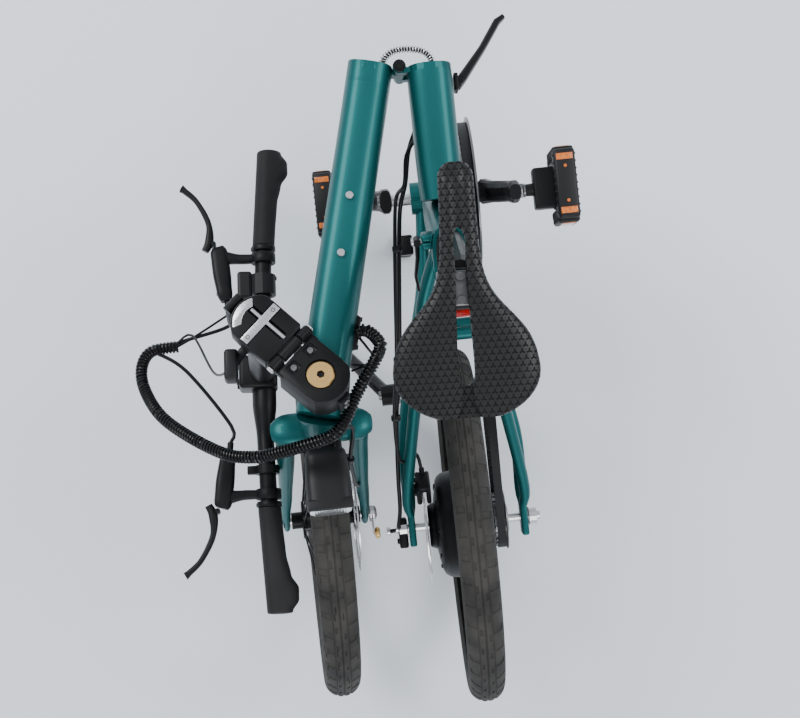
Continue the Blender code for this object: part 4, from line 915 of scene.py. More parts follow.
def saddle_half_width(t):
    """Half the saddle's width, t from 0 at its nose to 1 at its tail."""
    nose = 0.0185 + 0.005 * t
    flare = 0.0565 / (1 + math.exp(-(t - 0.585) * 17))
    rounding = 1.0
    if t < 0.06:
        rounding = math.sqrt(max(0.0, 1 - ((0.06 - t) / 0.06) ** 2)) * 0.80 + 0.20
    if t > 0.80:
        rounding = math.sqrt(max(0.0, 1 - ((t - 0.80) / 0.205) ** 2)) * 0.94 + 0.06
    return (nose + flare) * rounding


def slot_half_width(y):
    """Half the width of the slot along the saddle's middle."""
    if not -0.104 < y < 0.064:
        return 0.0
    ends = min(1.0, (0.064 - y) / 0.016, (y + 0.104) / 0.010)
    waist = 0.0060 + 0.0030 * max(0.0, min(1.0, (0.015 - y) / 0.09)) + 0.0015 * max(0.0, (y - 0.02) / 0.04)
    return waist * math.sqrt(max(0.0, ends))


def saddle_finish():
    made, tree, shader, place = finish("saddle_cover", (0.009, 0.009, 0.0095), 0.46, gloss=0.30)
    top = node(tree, "ShaderNodeUVMap", {"uv_map": "top"})
    parts = node(tree, "ShaderNodeSeparateXYZ", None, top).socket.node.outputs
    pitch, row_pitch, arm, half_arm = 0.0078, 0.0067, 0.0033, 0.00085
    length = Value(tree, parts[1])
    row = (length * (1 / row_pitch)).maths("FLOOR")
    across = Value(tree, parts[0]) + row.maths("FLOORED_MODULO", 2.0) * (pitch / 2)
    u = across.maths("WRAP", pitch / 2, -pitch / 2).maths("ABSOLUTE")
    v = length.maths("WRAP", row_pitch, 0.0) - row_pitch * 0.42
    rising = u.maths("LESS_THAN", half_arm) * (v > 0.0) * v.maths("LESS_THAN", arm)
    along = u * 0.866 - v * 0.5
    beside = (u * 0.5 + v * 0.866).maths("ABSOLUTE")
    sloping = beside.maths("LESS_THAN", half_arm) * (along > 0.0) * along.maths("LESS_THAN", arm)
    star = rising.maths("MAXIMUM", sloping)
    grain = node(tree, "ShaderNodeTexVoronoi", None, vector=place, scale=1500.0)
    blended(tree, star, (0.0095, 0.0093, 0.0098), (0.0004, 0.0004, 0.0004)).plug(shader.inputs["Base Color"])
    sheen = ramped(tree, noise(tree, place, 45.0), 0.3, 0.7, 0.34, 0.46)
    (sheen + star * 0.45).plug(shader.inputs["Roughness"])
    bumped(tree, shader, 1.0 - star * 0.85 + grain * 0.05, 0.0016, 1.0)
    return made


saddle_mesh = bmesh.new()
ring_face = None
stations = 56
for index in range(stations + 1):
    t = index / stations
    t = 0.003 + 0.986 * (0.5 - 0.5 * math.cos(math.pi * t))
    y = saddle_front - saddle_length * t
    half = saddle_half_width(t)
    top = 0.050 + 0.003 * math.cos(math.pi * t) + 0.006 * max(0.0, t - 0.6)
    depth = 0.024 + 0.004 * min(1.0, t / 0.4)
    top -= 0.010 * max(0.0, 1 - t / 0.1) ** 2
    ring = []
    for step in range(48):
        angle = 2 * math.pi * (step + 0.5) / 48
        c, s = math.cos(angle), math.sin(angle)
        x = math.copysign(abs(c) ** 0.62, c) * half
        rise = math.copysign(abs(s) ** 0.62, s) * depth / 2
        sink = 0.0035 * math.exp(-((abs(x) / max(half, 0.02)) * 3.2) ** 2) * (s > 0)
        ring.append(Vector((x, y, top - depth / 2 + rise - sink)))
    if ring_face is None:
        ring_face = saddle_mesh.faces.new([saddle_mesh.verts.new(point) for point in ring])
        continue
    last = ring_face
    grown = bmesh.ops.extrude_face_region(saddle_mesh, geom=[last])
    ring_face = next(item for item in grown["geom"] if isinstance(item, bmesh.types.BMFace))
    for vertex, point in zip(ring_face.verts, ring):
        vertex.co = point
    if index > 1:
        bmesh.ops.delete(saddle_mesh, geom=[last], context="FACES_ONLY")
saddle = piece("saddle_cover", saddle_mesh, Matrix(), saddle_finish(), "seatpost", sharp=70.0)

slot_outline = [(slot_half_width(-0.104 + 0.168 * step / 40), -0.104 + 0.168 * step / 40)
                for step in range(1, 40)]
slot_outline = [(0.0, -0.104)] + slot_outline + [(0.0, 0.064)] + [(-x, y) for x, y in reversed(slot_outline)]
cutters = [cut_plate(slot_outline, 0.0, 0.08, 0.0)]
cutters.append(cut_plate([(0.0052, -0.100), (0.0062, -0.120), (0.0125, -0.134), (0.0220, -0.150),
                          (-0.0220, -0.150), (-0.0125, -0.134), (-0.0062, -0.120), (-0.0052, -0.100)],
                         0.041, 0.08, 0.0))
knife_mesh = joined(*cutters)
knife = piece("saddle_knife", knife_mesh, Matrix(), black_plastic, "seatpost")
cut = saddle.modifiers.new("slot", "BOOLEAN")
cut.object = knife
cut.solver = "EXACT"
cut.use_self = True
bpy.context.view_layer.update()
evaluated = saddle.evaluated_get(bpy.context.evaluated_depsgraph_get())
carved = bpy.data.meshes.new_from_object(evaluated)
saddle.modifiers.clear()
saddle.data = carved
bpy.data.objects.remove(knife, do_unlink=True)
top_map = carved.uv_layers.new(name="top")
for loop in carved.loops:
    point = carved.vertices[loop.vertex_index].co
    top_map.data[loop.index].uv = (point.x, point.y)
carved.transform(saddle_place)
carved.shade_smooth()
carved.set_sharp_from_angle(angle=math.radians(42))
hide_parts("saddle")

rail_clamp = joined(
    block((-0.0250, -0.020, -0.010), (0.0250, 0.020, -0.002), 0.002),
    block((-0.0245, -0.019, 0.0105), (0.0245, 0.019, 0.0160), 0.002),
    bolt((0.0, 0.012, 0.016), (0, 0, 1), head=0.0046, height=0.004),
    bolt((0.0, -0.012, 0.016), (0, 0, 1), head=0.0046, height=0.004),
)
piece("saddle_rail_clamp", rail_clamp, saddle_place, dark_steel, "seatpost")


def lens_finish():
    made, tree, shader, place = finish("red_lens", (0.60, 0.012, 0.010), 0.10, 0.0, coat=1.0)
    grid = node(tree, "ShaderNodeTexVoronoi", None, vector=place, scale=480.0)
    blended(tree, grid * 1.3, (0.70, 0.020, 0.015), (0.28, 0.003, 0.003)).plug(shader.inputs["Base Color"])
    bumped(tree, shader, grid, 0.0004, 0.5)
    shader.inputs["Emission Color"].default_value = (0.6, 0.01, 0.01, 1.0)
    shader.inputs["Emission Strength"].default_value = 0.10
    return made


dress(lens_finish(), "tail_light")
collar = joined(
    swept([((0, 0, 0.3300), 0.0235, 0.0385), ((0, 0, 0.3372), 0.0235, 0.0385),
           ((0, 0, 0.3380), 0.0228, 0.0378)],
          sides=48, power=3.0),
)
bmesh.ops.delete(collar, geom=[face for face in collar.faces if len(face.verts) > 4], context="FACES_ONLY")
piece("seat_tube_collar", collar, seat_line, teal, "rear_frame")
clamp_bolt = joined(
    bar((-0.0375, 0.017, 0.320), (-0.0140, 0.017, 0.320), 0.0030, 16),
    bolt((-0.0420, 0.017, 0.320), (-1, 0, 0), head=0.0052, height=0.003),
)
piece("seat_clamp_bolt", clamp_bolt, seat_line, bright_steel, "seat_clamp_lever")


# ---------------------------------------------------------------- front half of the frame
# The front main tube runs from the hinge to the head tube. Two steel bosses stand on its top for a bag,
# and a black port in its side lets the hoses and leads out. A sprung cable bridges the open hinge.

tube_piece("front_tube", ["front_main_tube"], squared(drawn_tube([
    ((0, 0.1300, 0.530), 0.0275, 0.040), ((0, 0.151, 0.530), 0.0275, 0.040),
    ((0, 0.200, 0.535), 0.0275, 0.040),
    ((0, 0.5240, 0.5785), 0.0285, 0.040), ((0, 0.560, 0.5825), 0.0262, 0.037)],
    power=3.0), hinge_face_y + 0.0004, 1.0), front_half, "front_frame")
for number, (along, lift) in enumerate(((0.298, 0.5858), (0.3674, 0.5945))):
    boss = joined(
        turned([(0.0, 0.0), (0.0068, 0.0), (0.0068, 0.0010), (0.0, 0.0010)], 32),
        turned([(0.0, 0.0008), (0.0046, 0.0008), (0.0046, 0.0036), (0.0, 0.0036)], 28),
    )
    lean = Matrix.Rotation(math.radians(7.0), 4, "X")
    top = front_half @ Matrix.Translation((0, along, lift)) @ lean
    piece(f"bag_boss_washer_{number}", boss, top, black_plastic, "front_frame")
    piece(f"bag_boss_bolt_{number}", bolt((0, 0, 0.0034), (0, 0, 1), head=0.0047, height=0.0042), top,
          bright_steel, "front_frame")
port = joined(
    swept([((-0.0280, 0.458, 0.572), 0.010, 0.022), ((-0.0325, 0.458, 0.572), 0.009, 0.020),
           ((-0.0335, 0.458, 0.572), 0.007, 0.018)], side=(0, 0, 1), sides=32, power=3.5),
    bolt((-0.0330, 0.441, 0.5705), (-1, 0, 0), head=0.0030, height=0.0018),
    bolt((-0.0330, 0.475, 0.5745), (-1, 0, 0), head=0.0030, height=0.0018),
)
piece("cable_port", port, front_half, black_plastic, "front_frame")


def coil(points, radius, wire, turns_per_metre, sides=6, start=0.0, steps=14):
    """A wire wound round a route."""
    route = smooth_route(points, 1.0 / turns_per_metre / steps)
    found = []
    run = 0.0
    up = Vector((0.2, 0.3, 0.93))
    for index, here in enumerate(route):
        after = route[min(index + 1, len(route) - 1)]
        along = (after - route[max(index - 1, 0)]).normalized()
        up = (up - along * up.dot(along)).normalized()
        side = along.cross(up)
        angle = start + 2 * math.pi * run * turns_per_metre
        found.append((here + (up * math.cos(angle) + side * math.sin(angle)) * radius, wire, wire))
        run += (after - here).length
    return swept(found, side=(0.3, 0.2, 0.9), sides=sides)


hinge_cable_route = [(0.004, 0.124, 0.560), (0.003, 0.136, 0.560), (-0.006, 0.1455, 0.560),
                     (-0.0235, 0.1500, 0.560), (-0.0420, 0.1490, 0.560), (-0.0540, 0.1400, 0.560),
                     (-0.0565, 0.1280, 0.560)]
for name, mesh, skin in (
    ("hinge_cable", hose(hinge_cable_route, 0.0026), hose_rubber),
    ("hinge_cable_spring", coil(hinge_cable_route, 0.0040, 0.0007, 290.0), bright_steel),
):
    made = piece(name, mesh, rear_half, skin)
    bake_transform(made)


# ---------------------------------------------------------------- headset and fork
# A black headset, a teal fork with a wide crown and blades that sweep forward to the hub, and a hooded
# black lamp bolted to the crown.

headset = joined(
    turned([(0.0190, 0.2858), (0.0262, 0.2858), (0.0270, 0.2868), (0.0270, 0.2878), (0.0190, 0.2878)], 64),
    turned([(0.0160, 0.4122), (0.0258, 0.4122), (0.0262, 0.4135), (0.0250, 0.4180), (0.0205, 0.4200),
            (0.0160, 0.4200)], 64),
)
piece("headset_rings", headset, head_line, black_metal, "front_frame")
crown_low, crown_high = 0.259, 0.285
crown_z = (crown_low + crown_high) / 2
steerer_mesh = joined(
    turned([(0.0, crown_low + 0.004), (0.0145, crown_low + 0.004), (0.0145, 0.4195), (0.0, 0.4195)], 40),
    drawn_tube([((-0.0605, 0.0, crown_low + 0.008), 0.0125, 0.0105), ((-0.040, 0.0, crown_z), 0.021, 0.0130),
                ((0.040, 0.0, crown_z), 0.021, 0.0130), ((0.0605, 0.0, crown_low + 0.008), 0.0125, 0.0105)],
               side=(0, 1, 0), sides=40, power=2.4, spacing=0.004),
)
tube_piece("fork_crown", ["fork_steerer"], steerer_mesh, fork_place, "fork")
for hand, side_name in ((-1, "left"), (1, "right")):
    blade = drawn_tube([
        ((hand * 0.0475, 0.000, crown_low + 0.004), 0.0125, 0.0185),
        ((hand * 0.0480, 0.008, 0.200), 0.0120, 0.0175),
        ((hand * 0.0530, 0.030, 0.080), 0.0090, 0.0135), ((hand * 0.0560, 0.043, 0.026), 0.0070, 0.0125),
        ((hand * 0.0560, 0.050, -0.014), 0.0055, 0.0120)], sides=36, power=2.2)
    tube_piece(f"fork_blade_{side_name}", [f"fork_leg_{side_name}"], blade, fork_place, "fork")

lamp_shell = joined(
    drawn_tube([((0, 0.036, 0.302), 0.018, 0.010), ((0, 0.050, 0.302), 0.026, 0.0205),
                ((0, 0.085, 0.301), 0.028, 0.0235), ((0, 0.112, 0.300), 0.028, 0.0235)],
               sides=48, power=4.5, spacing=0.004),
    block((-0.0275, 0.106, 0.3170), (0.0275, 0.1195, 0.3235), 0.0020),
    block((-0.011, 0.0275, 0.291), (0.011, 0.045, 0.311), 0.002),
    block((-0.0200, 0.030, 0.296), (-0.0110, 0.062, 0.318), 0.002),
    block((0.0110, 0.030, 0.296), (0.0200, 0.062, 0.318), 0.002),
)
lamp = tube_piece("headlight_shell", ["headlight"], lamp_shell, fork_place, "fork", black_plastic)
lamp_bolts = joined(
    bolt((-0.0085, 0.030, 0.3110), (0, 0, 1), head=0.0038, height=0.0034),
    bolt((0.0085, 0.030, 0.3110), (0, 0, 1), head=0.0038, height=0.0034),
    bolt((-0.0200, 0.045, 0.307), (-1, 0, 0), head=0.0042, height=0.003),
    bolt((0.0200, 0.045, 0.307), (1, 0, 0), head=0.0042, height=0.003),
)
piece("headlight_bolts", lamp_bolts, fork_place, bright_steel, "fork")


def lamp_glass_finish():
    made, tree, shader, place = finish("lamp_glass", (0.75, 0.78, 0.80), 0.06, 0.6, coat=1.0)
    ribs = node(tree, "ShaderNodeTexWave", None, vector=place, scale=90.0)
    bumped(tree, shader, ribs, 0.0006, 0.5)
    return made


lamp_glass = swept([((0, 0.1115, 0.2985), 0.0255, 0.0205), ((0, 0.1150, 0.2985), 0.0255, 0.0205),
                    ((0, 0.1172, 0.2985), 0.0215, 0.0165)], sides=48, power=4.5)
piece("headlight_glass", lamp_glass, fork_place, lamp_glass_finish(), "fork")


# ---------------------------------------------------------------- stem hinge
# Two machined black blocks. The lower one clamps the steerer under a gold preload cap; the upper one
# carries the handlepost and shows its mating face, with a steel bar, a draw bolt and a wear plate.

def carved(target, *knives):
    """A bmesh with the shapes of several others cut out of it."""
    holders = []
    for mesh in (target, joined(*knives)):
        bmesh.ops.remove_doubles(mesh, verts=mesh.verts, dist=1e-6)
        bmesh.ops.recalc_face_normals(mesh, faces=mesh.faces)
        data = bpy.data.meshes.new("blank")
        mesh.to_mesh(data)
        mesh.free()
        holder = bpy.data.objects.new("blank", data)
        bpy.context.scene.collection.objects.link(holder)
        holders.append(holder)
    blank, knife = holders
    cutting = blank.modifiers.new("cut", "BOOLEAN")
    cutting.object = knife
    cutting.solver = "EXACT"
    cutting.use_self = True
    bpy.context.view_layer.update()
    data = bpy.data.meshes.new_from_object(blank.evaluated_get(bpy.context.evaluated_depsgraph_get()))
    result = bmesh.new()
    result.from_mesh(data)
    for holder in holders:
        bpy.data.objects.remove(holder, do_unlink=True)
    return result


def hinge_frame(height):
    """A place on the fold: x across towards the fold axis, y along it."""
    turn = Matrix((fold_across, fold_along, Vector((0, 0, 1)))).transposed().to_4x4()
    return Matrix.Translation((0, 0, height)) @ turn


def arc_points(radius, first, last, steps):
    """Points along an arc, between two angles in degrees."""
    angles = [math.radians(first + (last - first) * step / steps) for step in range(steps + 1)]
    return [(radius * math.cos(angle), radius * math.sin(angle)) for angle in angles]


def hinge_block(low, high, facet):
    """Half of the stem hinge: flat towards the fold, round behind, with its edges chamfered."""
    outline = [(0.0385, -0.0265), (0.0385, 0.0265), (0.0350, 0.0300), (-0.006, 0.0300)]
    outline += arc_points(0.0335, 120, 240, 16) + [(-0.006, -0.0300), (0.0350, -0.0300)]
    return cut_plate(outline, low, high, facet)


lower_block_place = fork_place @ hinge_frame(0.4205)
upper_block_place = post_place @ hinge_frame(stem_face)
lower_block = hinge_block(0.0, 0.0493, 0.0022)
seat_ring = turned([(0.0, 0.0463), (0.0178, 0.0463), (0.0178, 0.0600), (0.0, 0.0600)], 48)
pocket_a = block((0.0215, -0.0210, 0.0470), (0.0345, -0.0070, 0.0600), 0.0020)
pocket_b = block((0.0215, 0.0070, 0.0470), (0.0345, 0.0210, 0.0600), 0.0020)
lower_mesh = carved(lower_block, seat_ring, pocket_a, pocket_b)
lower_mesh = joined(lower_mesh, block((-0.0300, -0.0085, 0.006), (-0.0380, 0.0085, 0.034), 0.0025),
                    bar((0.046, -0.0320, 0.0493), (0.046, -0.0160, 0.0493), 0.0068, 24, 0.0010),
                    bar((0.046, 0.0160, 0.0493), (0.046, 0.0320, 0.0493), 0.0068, 24, 0.0010),
                    block((0.030, -0.0310, 0.0380), (0.0460, -0.0170, 0.0480), 0.0010),
                    block((0.030, 0.0170, 0.0380), (0.0460, 0.0310, 0.0480), 0.0010))
lower = piece("stem_lower_block", lower_mesh, lower_block_place, black_metal, "fork", sharp=25.0)
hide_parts("stem_base")
cap_mesh = carved(
    turned([(0.0, 0.0464), (0.0160, 0.0464), (0.0160, 0.0482), (0.0145, 0.0492), (0.0, 0.0492)], 64),
    turned([(0.0, 0.0440), (0.0048, 0.0440), (0.0048, 0.0600), (0.0, 0.0600)], 6),
    turned([(0.0085, 0.0488), (0.0100, 0.0488), (0.0100, 0.0600), (0.0085, 0.0600)], 64),
)
piece("preload_cap", cap_mesh, lower_block_place, gold, "fork", sharp=25.0)
lower_screws = joined(
    bolt((0.0280, -0.0140, 0.0470), (0, 0, 1), head=0.0040, height=0.0018),
    bolt((0.0280, 0.0140, 0.0470), (0, 0, 1), head=0.0040, height=0.0018),
    bolt((-0.0385, 0.0, 0.013), (-1, 0, 0), head=0.0038, height=0.0025),
    bolt((-0.0385, 0.0, 0.027), (-1, 0, 0), head=0.0038, height=0.0025),
)
piece("stem_clamp_screws", lower_screws, lower_block_place, dark_steel, "fork")

upper_block = hinge_block(0.0004, 0.0330, 0.0022)
upper_mesh = carved(
    upper_block,
    block((-0.0050, -0.0288, -0.0100), (0.0070, 0.0288, 0.0034), 0.0010),
    block((-0.0200, -0.0110, -0.0100), (0.0340, -0.0010, 0.0068), 0.0020),
)
upper_mesh = joined(upper_mesh, bar((0.046, -0.0150, 0.0), (0.046, 0.0150, 0.0), 0.0068, 24, 0.0010),
                    block((0.030, -0.0140, 0.0015), (0.0460, 0.0140, 0.0110), 0.0010))
upper = piece("stem_upper_block", upper_mesh, upper_block_place, black_metal, "handlepost", sharp=25.0)
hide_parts("stem_hinge_top")
wear_plate = cut_plate(arc_points(0.0306, 128, 212, 20) + arc_points(0.0208, 206, 134, 20), 0.0002, 0.0014,
                       0.0002)
steel_bits = joined(
    block((-0.0040, -0.0282, 0.0006), (0.0060, 0.0282, 0.0032), 0.0006),
    bar((-0.0185, -0.0060, 0.0040), (0.0330, -0.0060, 0.0040), 0.0030, 20),
    wear_plate,
)
piece("stem_steel_plates", steel_bits, upper_block_place, bright_steel, "handlepost", sharp=25.0)
plate_screws = joined(
    bolt((0.0010, -0.0215, 0.0009), (0, 0, -1), head=0.0030, height=0.0006),
    bolt((0.0010, 0.0215, 0.0009), (0, 0, -1), head=0.0030, height=0.0006),
)
piece("stem_plate_screws", plate_screws, upper_block_place, dark_steel, "handlepost")
fold_pin = joined(
    bolt(fold_place + fold_axis * 0.0325, fold_axis, head=0.0052, height=0.0022),
    bolt(fold_place - fold_axis * 0.0325, -fold_axis, head=0.0052, height=0.0022),
)
piece("stem_fold_pin", fold_pin, fork_place, bright_steel, "fork")
dress(black_metal, "handlepost_latch", "hinge_pin")


# ---------------------------------------------------------------- handlepost and handlebar
# A black tube with a clamp at its end, and a nearly straight bar with grips whose ends widen into
# palm rests towards the rider.

bar_height, bar_half = 0.746, 0.312
post_tube = drawn_tube([((0, 0, 0.5034), 0.021, 0.021), ((0, 0, 0.533), 0.0185, 0.0185),
                        ((0, 0, 0.7208), 0.0175, 0.0175)], sides=40, power=2.0)
tube_piece("handlepost_tube", ["handlepost"], post_tube, post_place, "handlepost", black_metal)


def bar_at(x):
    """The middle of the bar at a distance along it."""
    out = abs(x)
    if out < 0.170:
        bend = max(0.0, out - 0.080) / 0.090
        return Vector((x, -0.003 * bend, bar_height + 0.001 * bend))
    bend = (out - 0.170) / (bar_half - 0.004 - 0.170)
    return Vector((x, -0.003 - 0.009 * bend, bar_height + 0.001 + 0.003 * bend))


bar_stations = []
for step in range(-44, 45):
    x = step * 0.007
    thick = 0.0159 - 0.0047 * min(1.0, max(0.0, (abs(x) - 0.045) / 0.035))
    bar_stations.append((bar_at(x), thick, thick))
tube_piece("handlebar_tube", ["handlebar"], swept(bar_stations, side=(0, 1, 0), sides=32), post_place,
           "handlepost", black_metal)
clamp_mesh = joined(
    block((-0.022, -0.018, bar_height - 0.0250), (0.022, 0.0325, bar_height + 0.0195), 0.0055, 4),
    bolt((-0.013, 0.0325, bar_height + 0.011), (0, 1, 0), head=0.0040, height=0.003),
    bolt((0.013, 0.0325, bar_height + 0.011), (0, 1, 0), head=0.0040, height=0.003),
    bolt((-0.013, 0.0325, bar_height - 0.015), (0, 1, 0), head=0.0040, height=0.003),
    bolt((0.013, 0.0325, bar_height - 0.015), (0, 1, 0), head=0.0040, height=0.003),
)
tube_piece("handlebar_clamp", ["bar_clamp"], clamp_mesh, post_place, "handlepost", black_metal)


def grip_finish():
    made, tree, shader, place = finish("grip_rubber", (0.012, 0.012, 0.013), 0.66, gloss=0.25)
    ribs = node(tree, "ShaderNodeTexVoronoi", None, vector=place, scale=620.0)
    rub = noise(tree, place, 24.0)
    blended(tree, rub, (0.008, 0.008, 0.0085), (0.018, 0.0175, 0.018)).plug(shader.inputs["Base Color"])
    bumped(tree, shader, ribs, 0.00035, 0.7)
    return made


grip_rubber = grip_finish()
for hand, side_name in ((-1, "left"), (1, "right")):
    stations = ((0.000, 0.0150, 0.0150), (0.020, 0.0150, 0.0150), (0.060, 0.0155, 0.0160),
                (0.086, 0.0160, 0.0200), (0.104, 0.0160, 0.0285), (0.118, 0.0160, 0.0275),
                (0.134, 0.0155, 0.0180))
    rings = []
    for index in range(len(stations) - 1):
        for step in range(6):
            t = step / 6
            ease = t * t * (3 - 2 * t)
            here, after = stations[index], stations[index + 1]
            sizes = [here[k] + (after[k] - here[k]) * ease for k in (1, 2)]
            rings.append([here[0] + (after[0] - here[0]) * t] + sizes)
    rings.append(list(stations[-1]))
    rings = [[-0.0006, 0.0140, 0.0140]] + rings + [[0.1350, 0.0140, 0.0162], [0.1356, 0.0115, 0.0120]]
    grip_mesh = bmesh.new()
    grip_face = None
    for number, (out, thick, back) in enumerate(rings):
        centre = bar_at(hand * (0.178 + out))
        ring = []
        for step in range(40):
            angle = 2 * math.pi * step / 40
            c, s = math.cos(angle), math.sin(angle)
            reach = min(0.0150, thick) if c > 0 else back
            height = thick - (0.004 * (back - 0.015) / 0.014 * -c if c < 0 and back > 0.015 else 0.0)
            ring.append(centre + Vector((0, c * reach, s * height)))
        if grip_face is None:
            grip_face = grip_mesh.faces.new([grip_mesh.verts.new(point) for point in ring])
            continue
        last = grip_face
        grown = bmesh.ops.extrude_face_region(grip_mesh, geom=[last])
        grip_face = next(item for item in grown["geom"] if isinstance(item, bmesh.types.BMFace))
        for vertex, point in zip(grip_face.verts, ring):
            vertex.co = point
        if number > 1:
            bmesh.ops.delete(grip_mesh, geom=[last], context="FACES_ONLY")
    tube_piece(f"grip_{side_name}_moulding", [f"grip_{side_name}"], grip_mesh, post_place, "handlepost",
               grip_rubber)
    collar_at = bar_at(hand * 0.1735)
    lock_ring = joined(
        turned([(0.0116, -0.0035), (0.0158, -0.0035), (0.0162, -0.0028), (0.0162, 0.0028), (0.0158, 0.0035),
                (0.0116, 0.0035)], 40, "X"),
        bolt((0, 0.0150, 0.0), (0, 1, 0), head=0.0026, height=0.0020),
    )
    piece(f"grip_ring_{side_name}", lock_ring, post_place @ Matrix.Translation(collar_at), black_metal,
          "handlepost")


# ---------------------------------------------------------------- brake levers
# Hydraulic levers: a clamp round the bar, a body with its reservoir along the bar, a bent alloy blade
# on a pivot, and a hose that leaves the reservoir's inner end.

for hand, side_name in ((-1, "left"), (1, "right")):
    at = post_place @ Matrix.Translation(bar_at(hand * 0.160))
    body_mesh = joined(
        turned([(0.0116, -0.0068), (0.0160, -0.0068), (0.0166, -0.0060), (0.0166, 0.0060), (0.0160, 0.0068),
                (0.0116, 0.0068)], 44, "X"),
        drawn_tube([((0, 0.0140, 0), 0.0060, 0.0078), ((0, 0.032, 0), 0.0065, 0.0070),
                    ((hand * 0.002, 0.050, 0), 0.0085, 0.0075)],
                   sides=28, power=3.0, spacing=0.003),
        drawn_tube([((hand * 0.016, 0.061, 0), 0.0085, 0.0070), ((hand * 0.008, 0.059, 0), 0.0118, 0.0090),
                    ((-hand * 0.018, 0.056, 0), 0.0122, 0.0100), ((-hand * 0.046, 0.0525, 0), 0.0105, 0.0095),
                    ((-hand * 0.058, 0.050, 0), 0.0075, 0.0075)], side=(0, 1, 0), sides=32, power=3.4,
                    spacing=0.003),
        block((min(-hand * 0.048, -hand * 0.014), 0.0450, 0.0085),
              (max(-hand * 0.048, -hand * 0.014), 0.0640, 0.0118), 0.0015),
        bar((-hand * 0.056, 0.0495, 0), (-hand * 0.070, 0.0480, 0), 0.0042, 20),
        bolt((-hand * 0.019, 0.0485, 0.0118), (0, 0, 1), head=0.0016, height=0.0008),
        bolt((-hand * 0.043, 0.0605, 0.0118), (0, 0, 1), head=0.0016, height=0.0008),
        bolt((0, 0.0185, 0.0075), (0, 0, 1), head=0.0032, height=0.0022),
    )
    tube_piece(f"brake_body_{side_name}", [f"brake_mount_{side_name}"], body_mesh, at, "handlepost",
               black_metal)
    pivot = at @ Matrix.Translation((hand * 0.020, 0.066, 0))
    blade_mesh = joined(
        drawn_tube([((-hand * 0.008, 0.012, 0), 0.0050, 0.0045), ((hand * 0.006, 0.006, 0), 0.0060, 0.0055),
                    ((hand * 0.032, 0.007, 0), 0.0040, 0.0050), ((hand * 0.062, 0.022, 0), 0.0036, 0.0055),
                    ((hand * 0.078, 0.038, 0), 0.0040, 0.0058), ((hand * 0.0815, 0.0425, 0), 0.0055, 0.0062)],
                   side=(0, 1, 0), sides=24, power=2.6, spacing=0.003),
        bar((0, 0, -0.0100), (0, 0, 0.0100), 0.0034, 20),
    )
    tube_piece(f"brake_blade_{side_name}", [f"brake_lever_{side_name}"], blade_mesh, pivot,
               f"brake_lever_{side_name}", black_metal)


# ---------------------------------------------------------------- display and buttons
# A small button pod clamped on the bar's left, and the display on a bracket by the stem.

dress(black_plastic, "control_pad", "control_button")
pod = post_place @ Matrix.Translation(bar_at(-0.122))
pod_face = joined(
    block((-0.0165, 0.0165, 0.0132), (-0.0075, 0.0320, 0.0150), 0.0012),
    block((0.0075, 0.0165, 0.0132), (0.0165, 0.0320, 0.0150), 0.0012),
    bolt((-0.0100, -0.0170, 0), (0, -1, 0), head=0.0028, height=0.0018),
)
piece("control_keys", pod_face, pod, hose_rubber, "handlepost")


def screen_finish():
    made, tree, shader, place = finish("display_glass", (0.006, 0.006, 0.007), 0.06, 0.0, coat=1.0)
    smear = noise(tree, place, 60.0)
    ramped(tree, smear, 0.3, 0.7, 0.05, 0.14).plug(shader.inputs["Roughness"])
    return made


display_mesh = joined(
    block((0.0200, 0.0270, 0.5080), (0.0560, 0.0420, 0.5400), 0.0030),
    drawn_tube([((0.012, 0.010, 0.521), 0.0060, 0.0045), ((0.022, 0.022, 0.522), 0.0055, 0.0045),
                ((0.034, 0.030, 0.524), 0.0055, 0.0060)], sides=20, power=3.0, spacing=0.003),
    bolt((0.0250, 0.0270, 0.524), (0, -1, 0), head=0.0042, height=0.0030),
)
piece("display_case", display_mesh, post_place, black_plastic, "handlepost")
piece("display_screen", block((0.0225, 0.0418, 0.5105), (0.0535, 0.0428, 0.5375), 0.0004, 1), post_place,
      screen_finish(), "handlepost")
bell_clamp = joined(
    turned([(0.0116, -0.0055), (0.0160, -0.0055), (0.0160, 0.0055), (0.0116, 0.0055)], 40, "X"),
    block((-0.0055, 0.0140, -0.0050), (0.0055, 0.0260, 0.0050), 0.0015),
    bolt((0.0, 0.0210, 0.0050), (0, 0, 1), head=0.0034, height=0.0024),
)
piece("bar_accessory_clamp", bell_clamp, post_place @ Matrix.Translation(bar_at(0.128)), black_metal,
      "handlepost")


# ---------------------------------------------------------------- cable loom and hoses
# The hoses and leads of the handlebar run in one spiral-wrapped bundle, from the port in the front tube
# round to the bar, where they part for the levers, the buttons and the display.

loom_middle = Vector((0.0558, 0.0283, 0))
loom_route = [Vector(point) + loom_middle for point in (
    (-0.051, 0.032, 0.585), (-0.040, 0.034, 0.586), (-0.026, 0.022, 0.594), (-0.025, 0.008, 0.600),
    (-0.051, -0.041, 0.604), (-0.073, -0.085, 0.604), (-0.118, -0.104, 0.592), (-0.168, -0.118, 0.566),
    (-0.209, -0.117, 0.545), (-0.261, -0.097, 0.510), (-0.303, -0.071, 0.480), (-0.329, -0.037, 0.450),
    (-0.334, -0.009, 0.436), (-0.323, 0.010, 0.424), (-0.292, 0.016, 0.414),
)]
parting = 7
wrap_finish = plastic_finish("spiral_wrap", (0.0035, 0.0035, 0.004), 0.26, 700.0, 0.00003)
halves = (
    ("port", loom_route[:parting + 1], "front_frame", "fork", loom_route[0], loom_route[4]),
    ("bar", loom_route[parting:], "fork", "handlepost", loom_route[parting], loom_route[-2]),
)
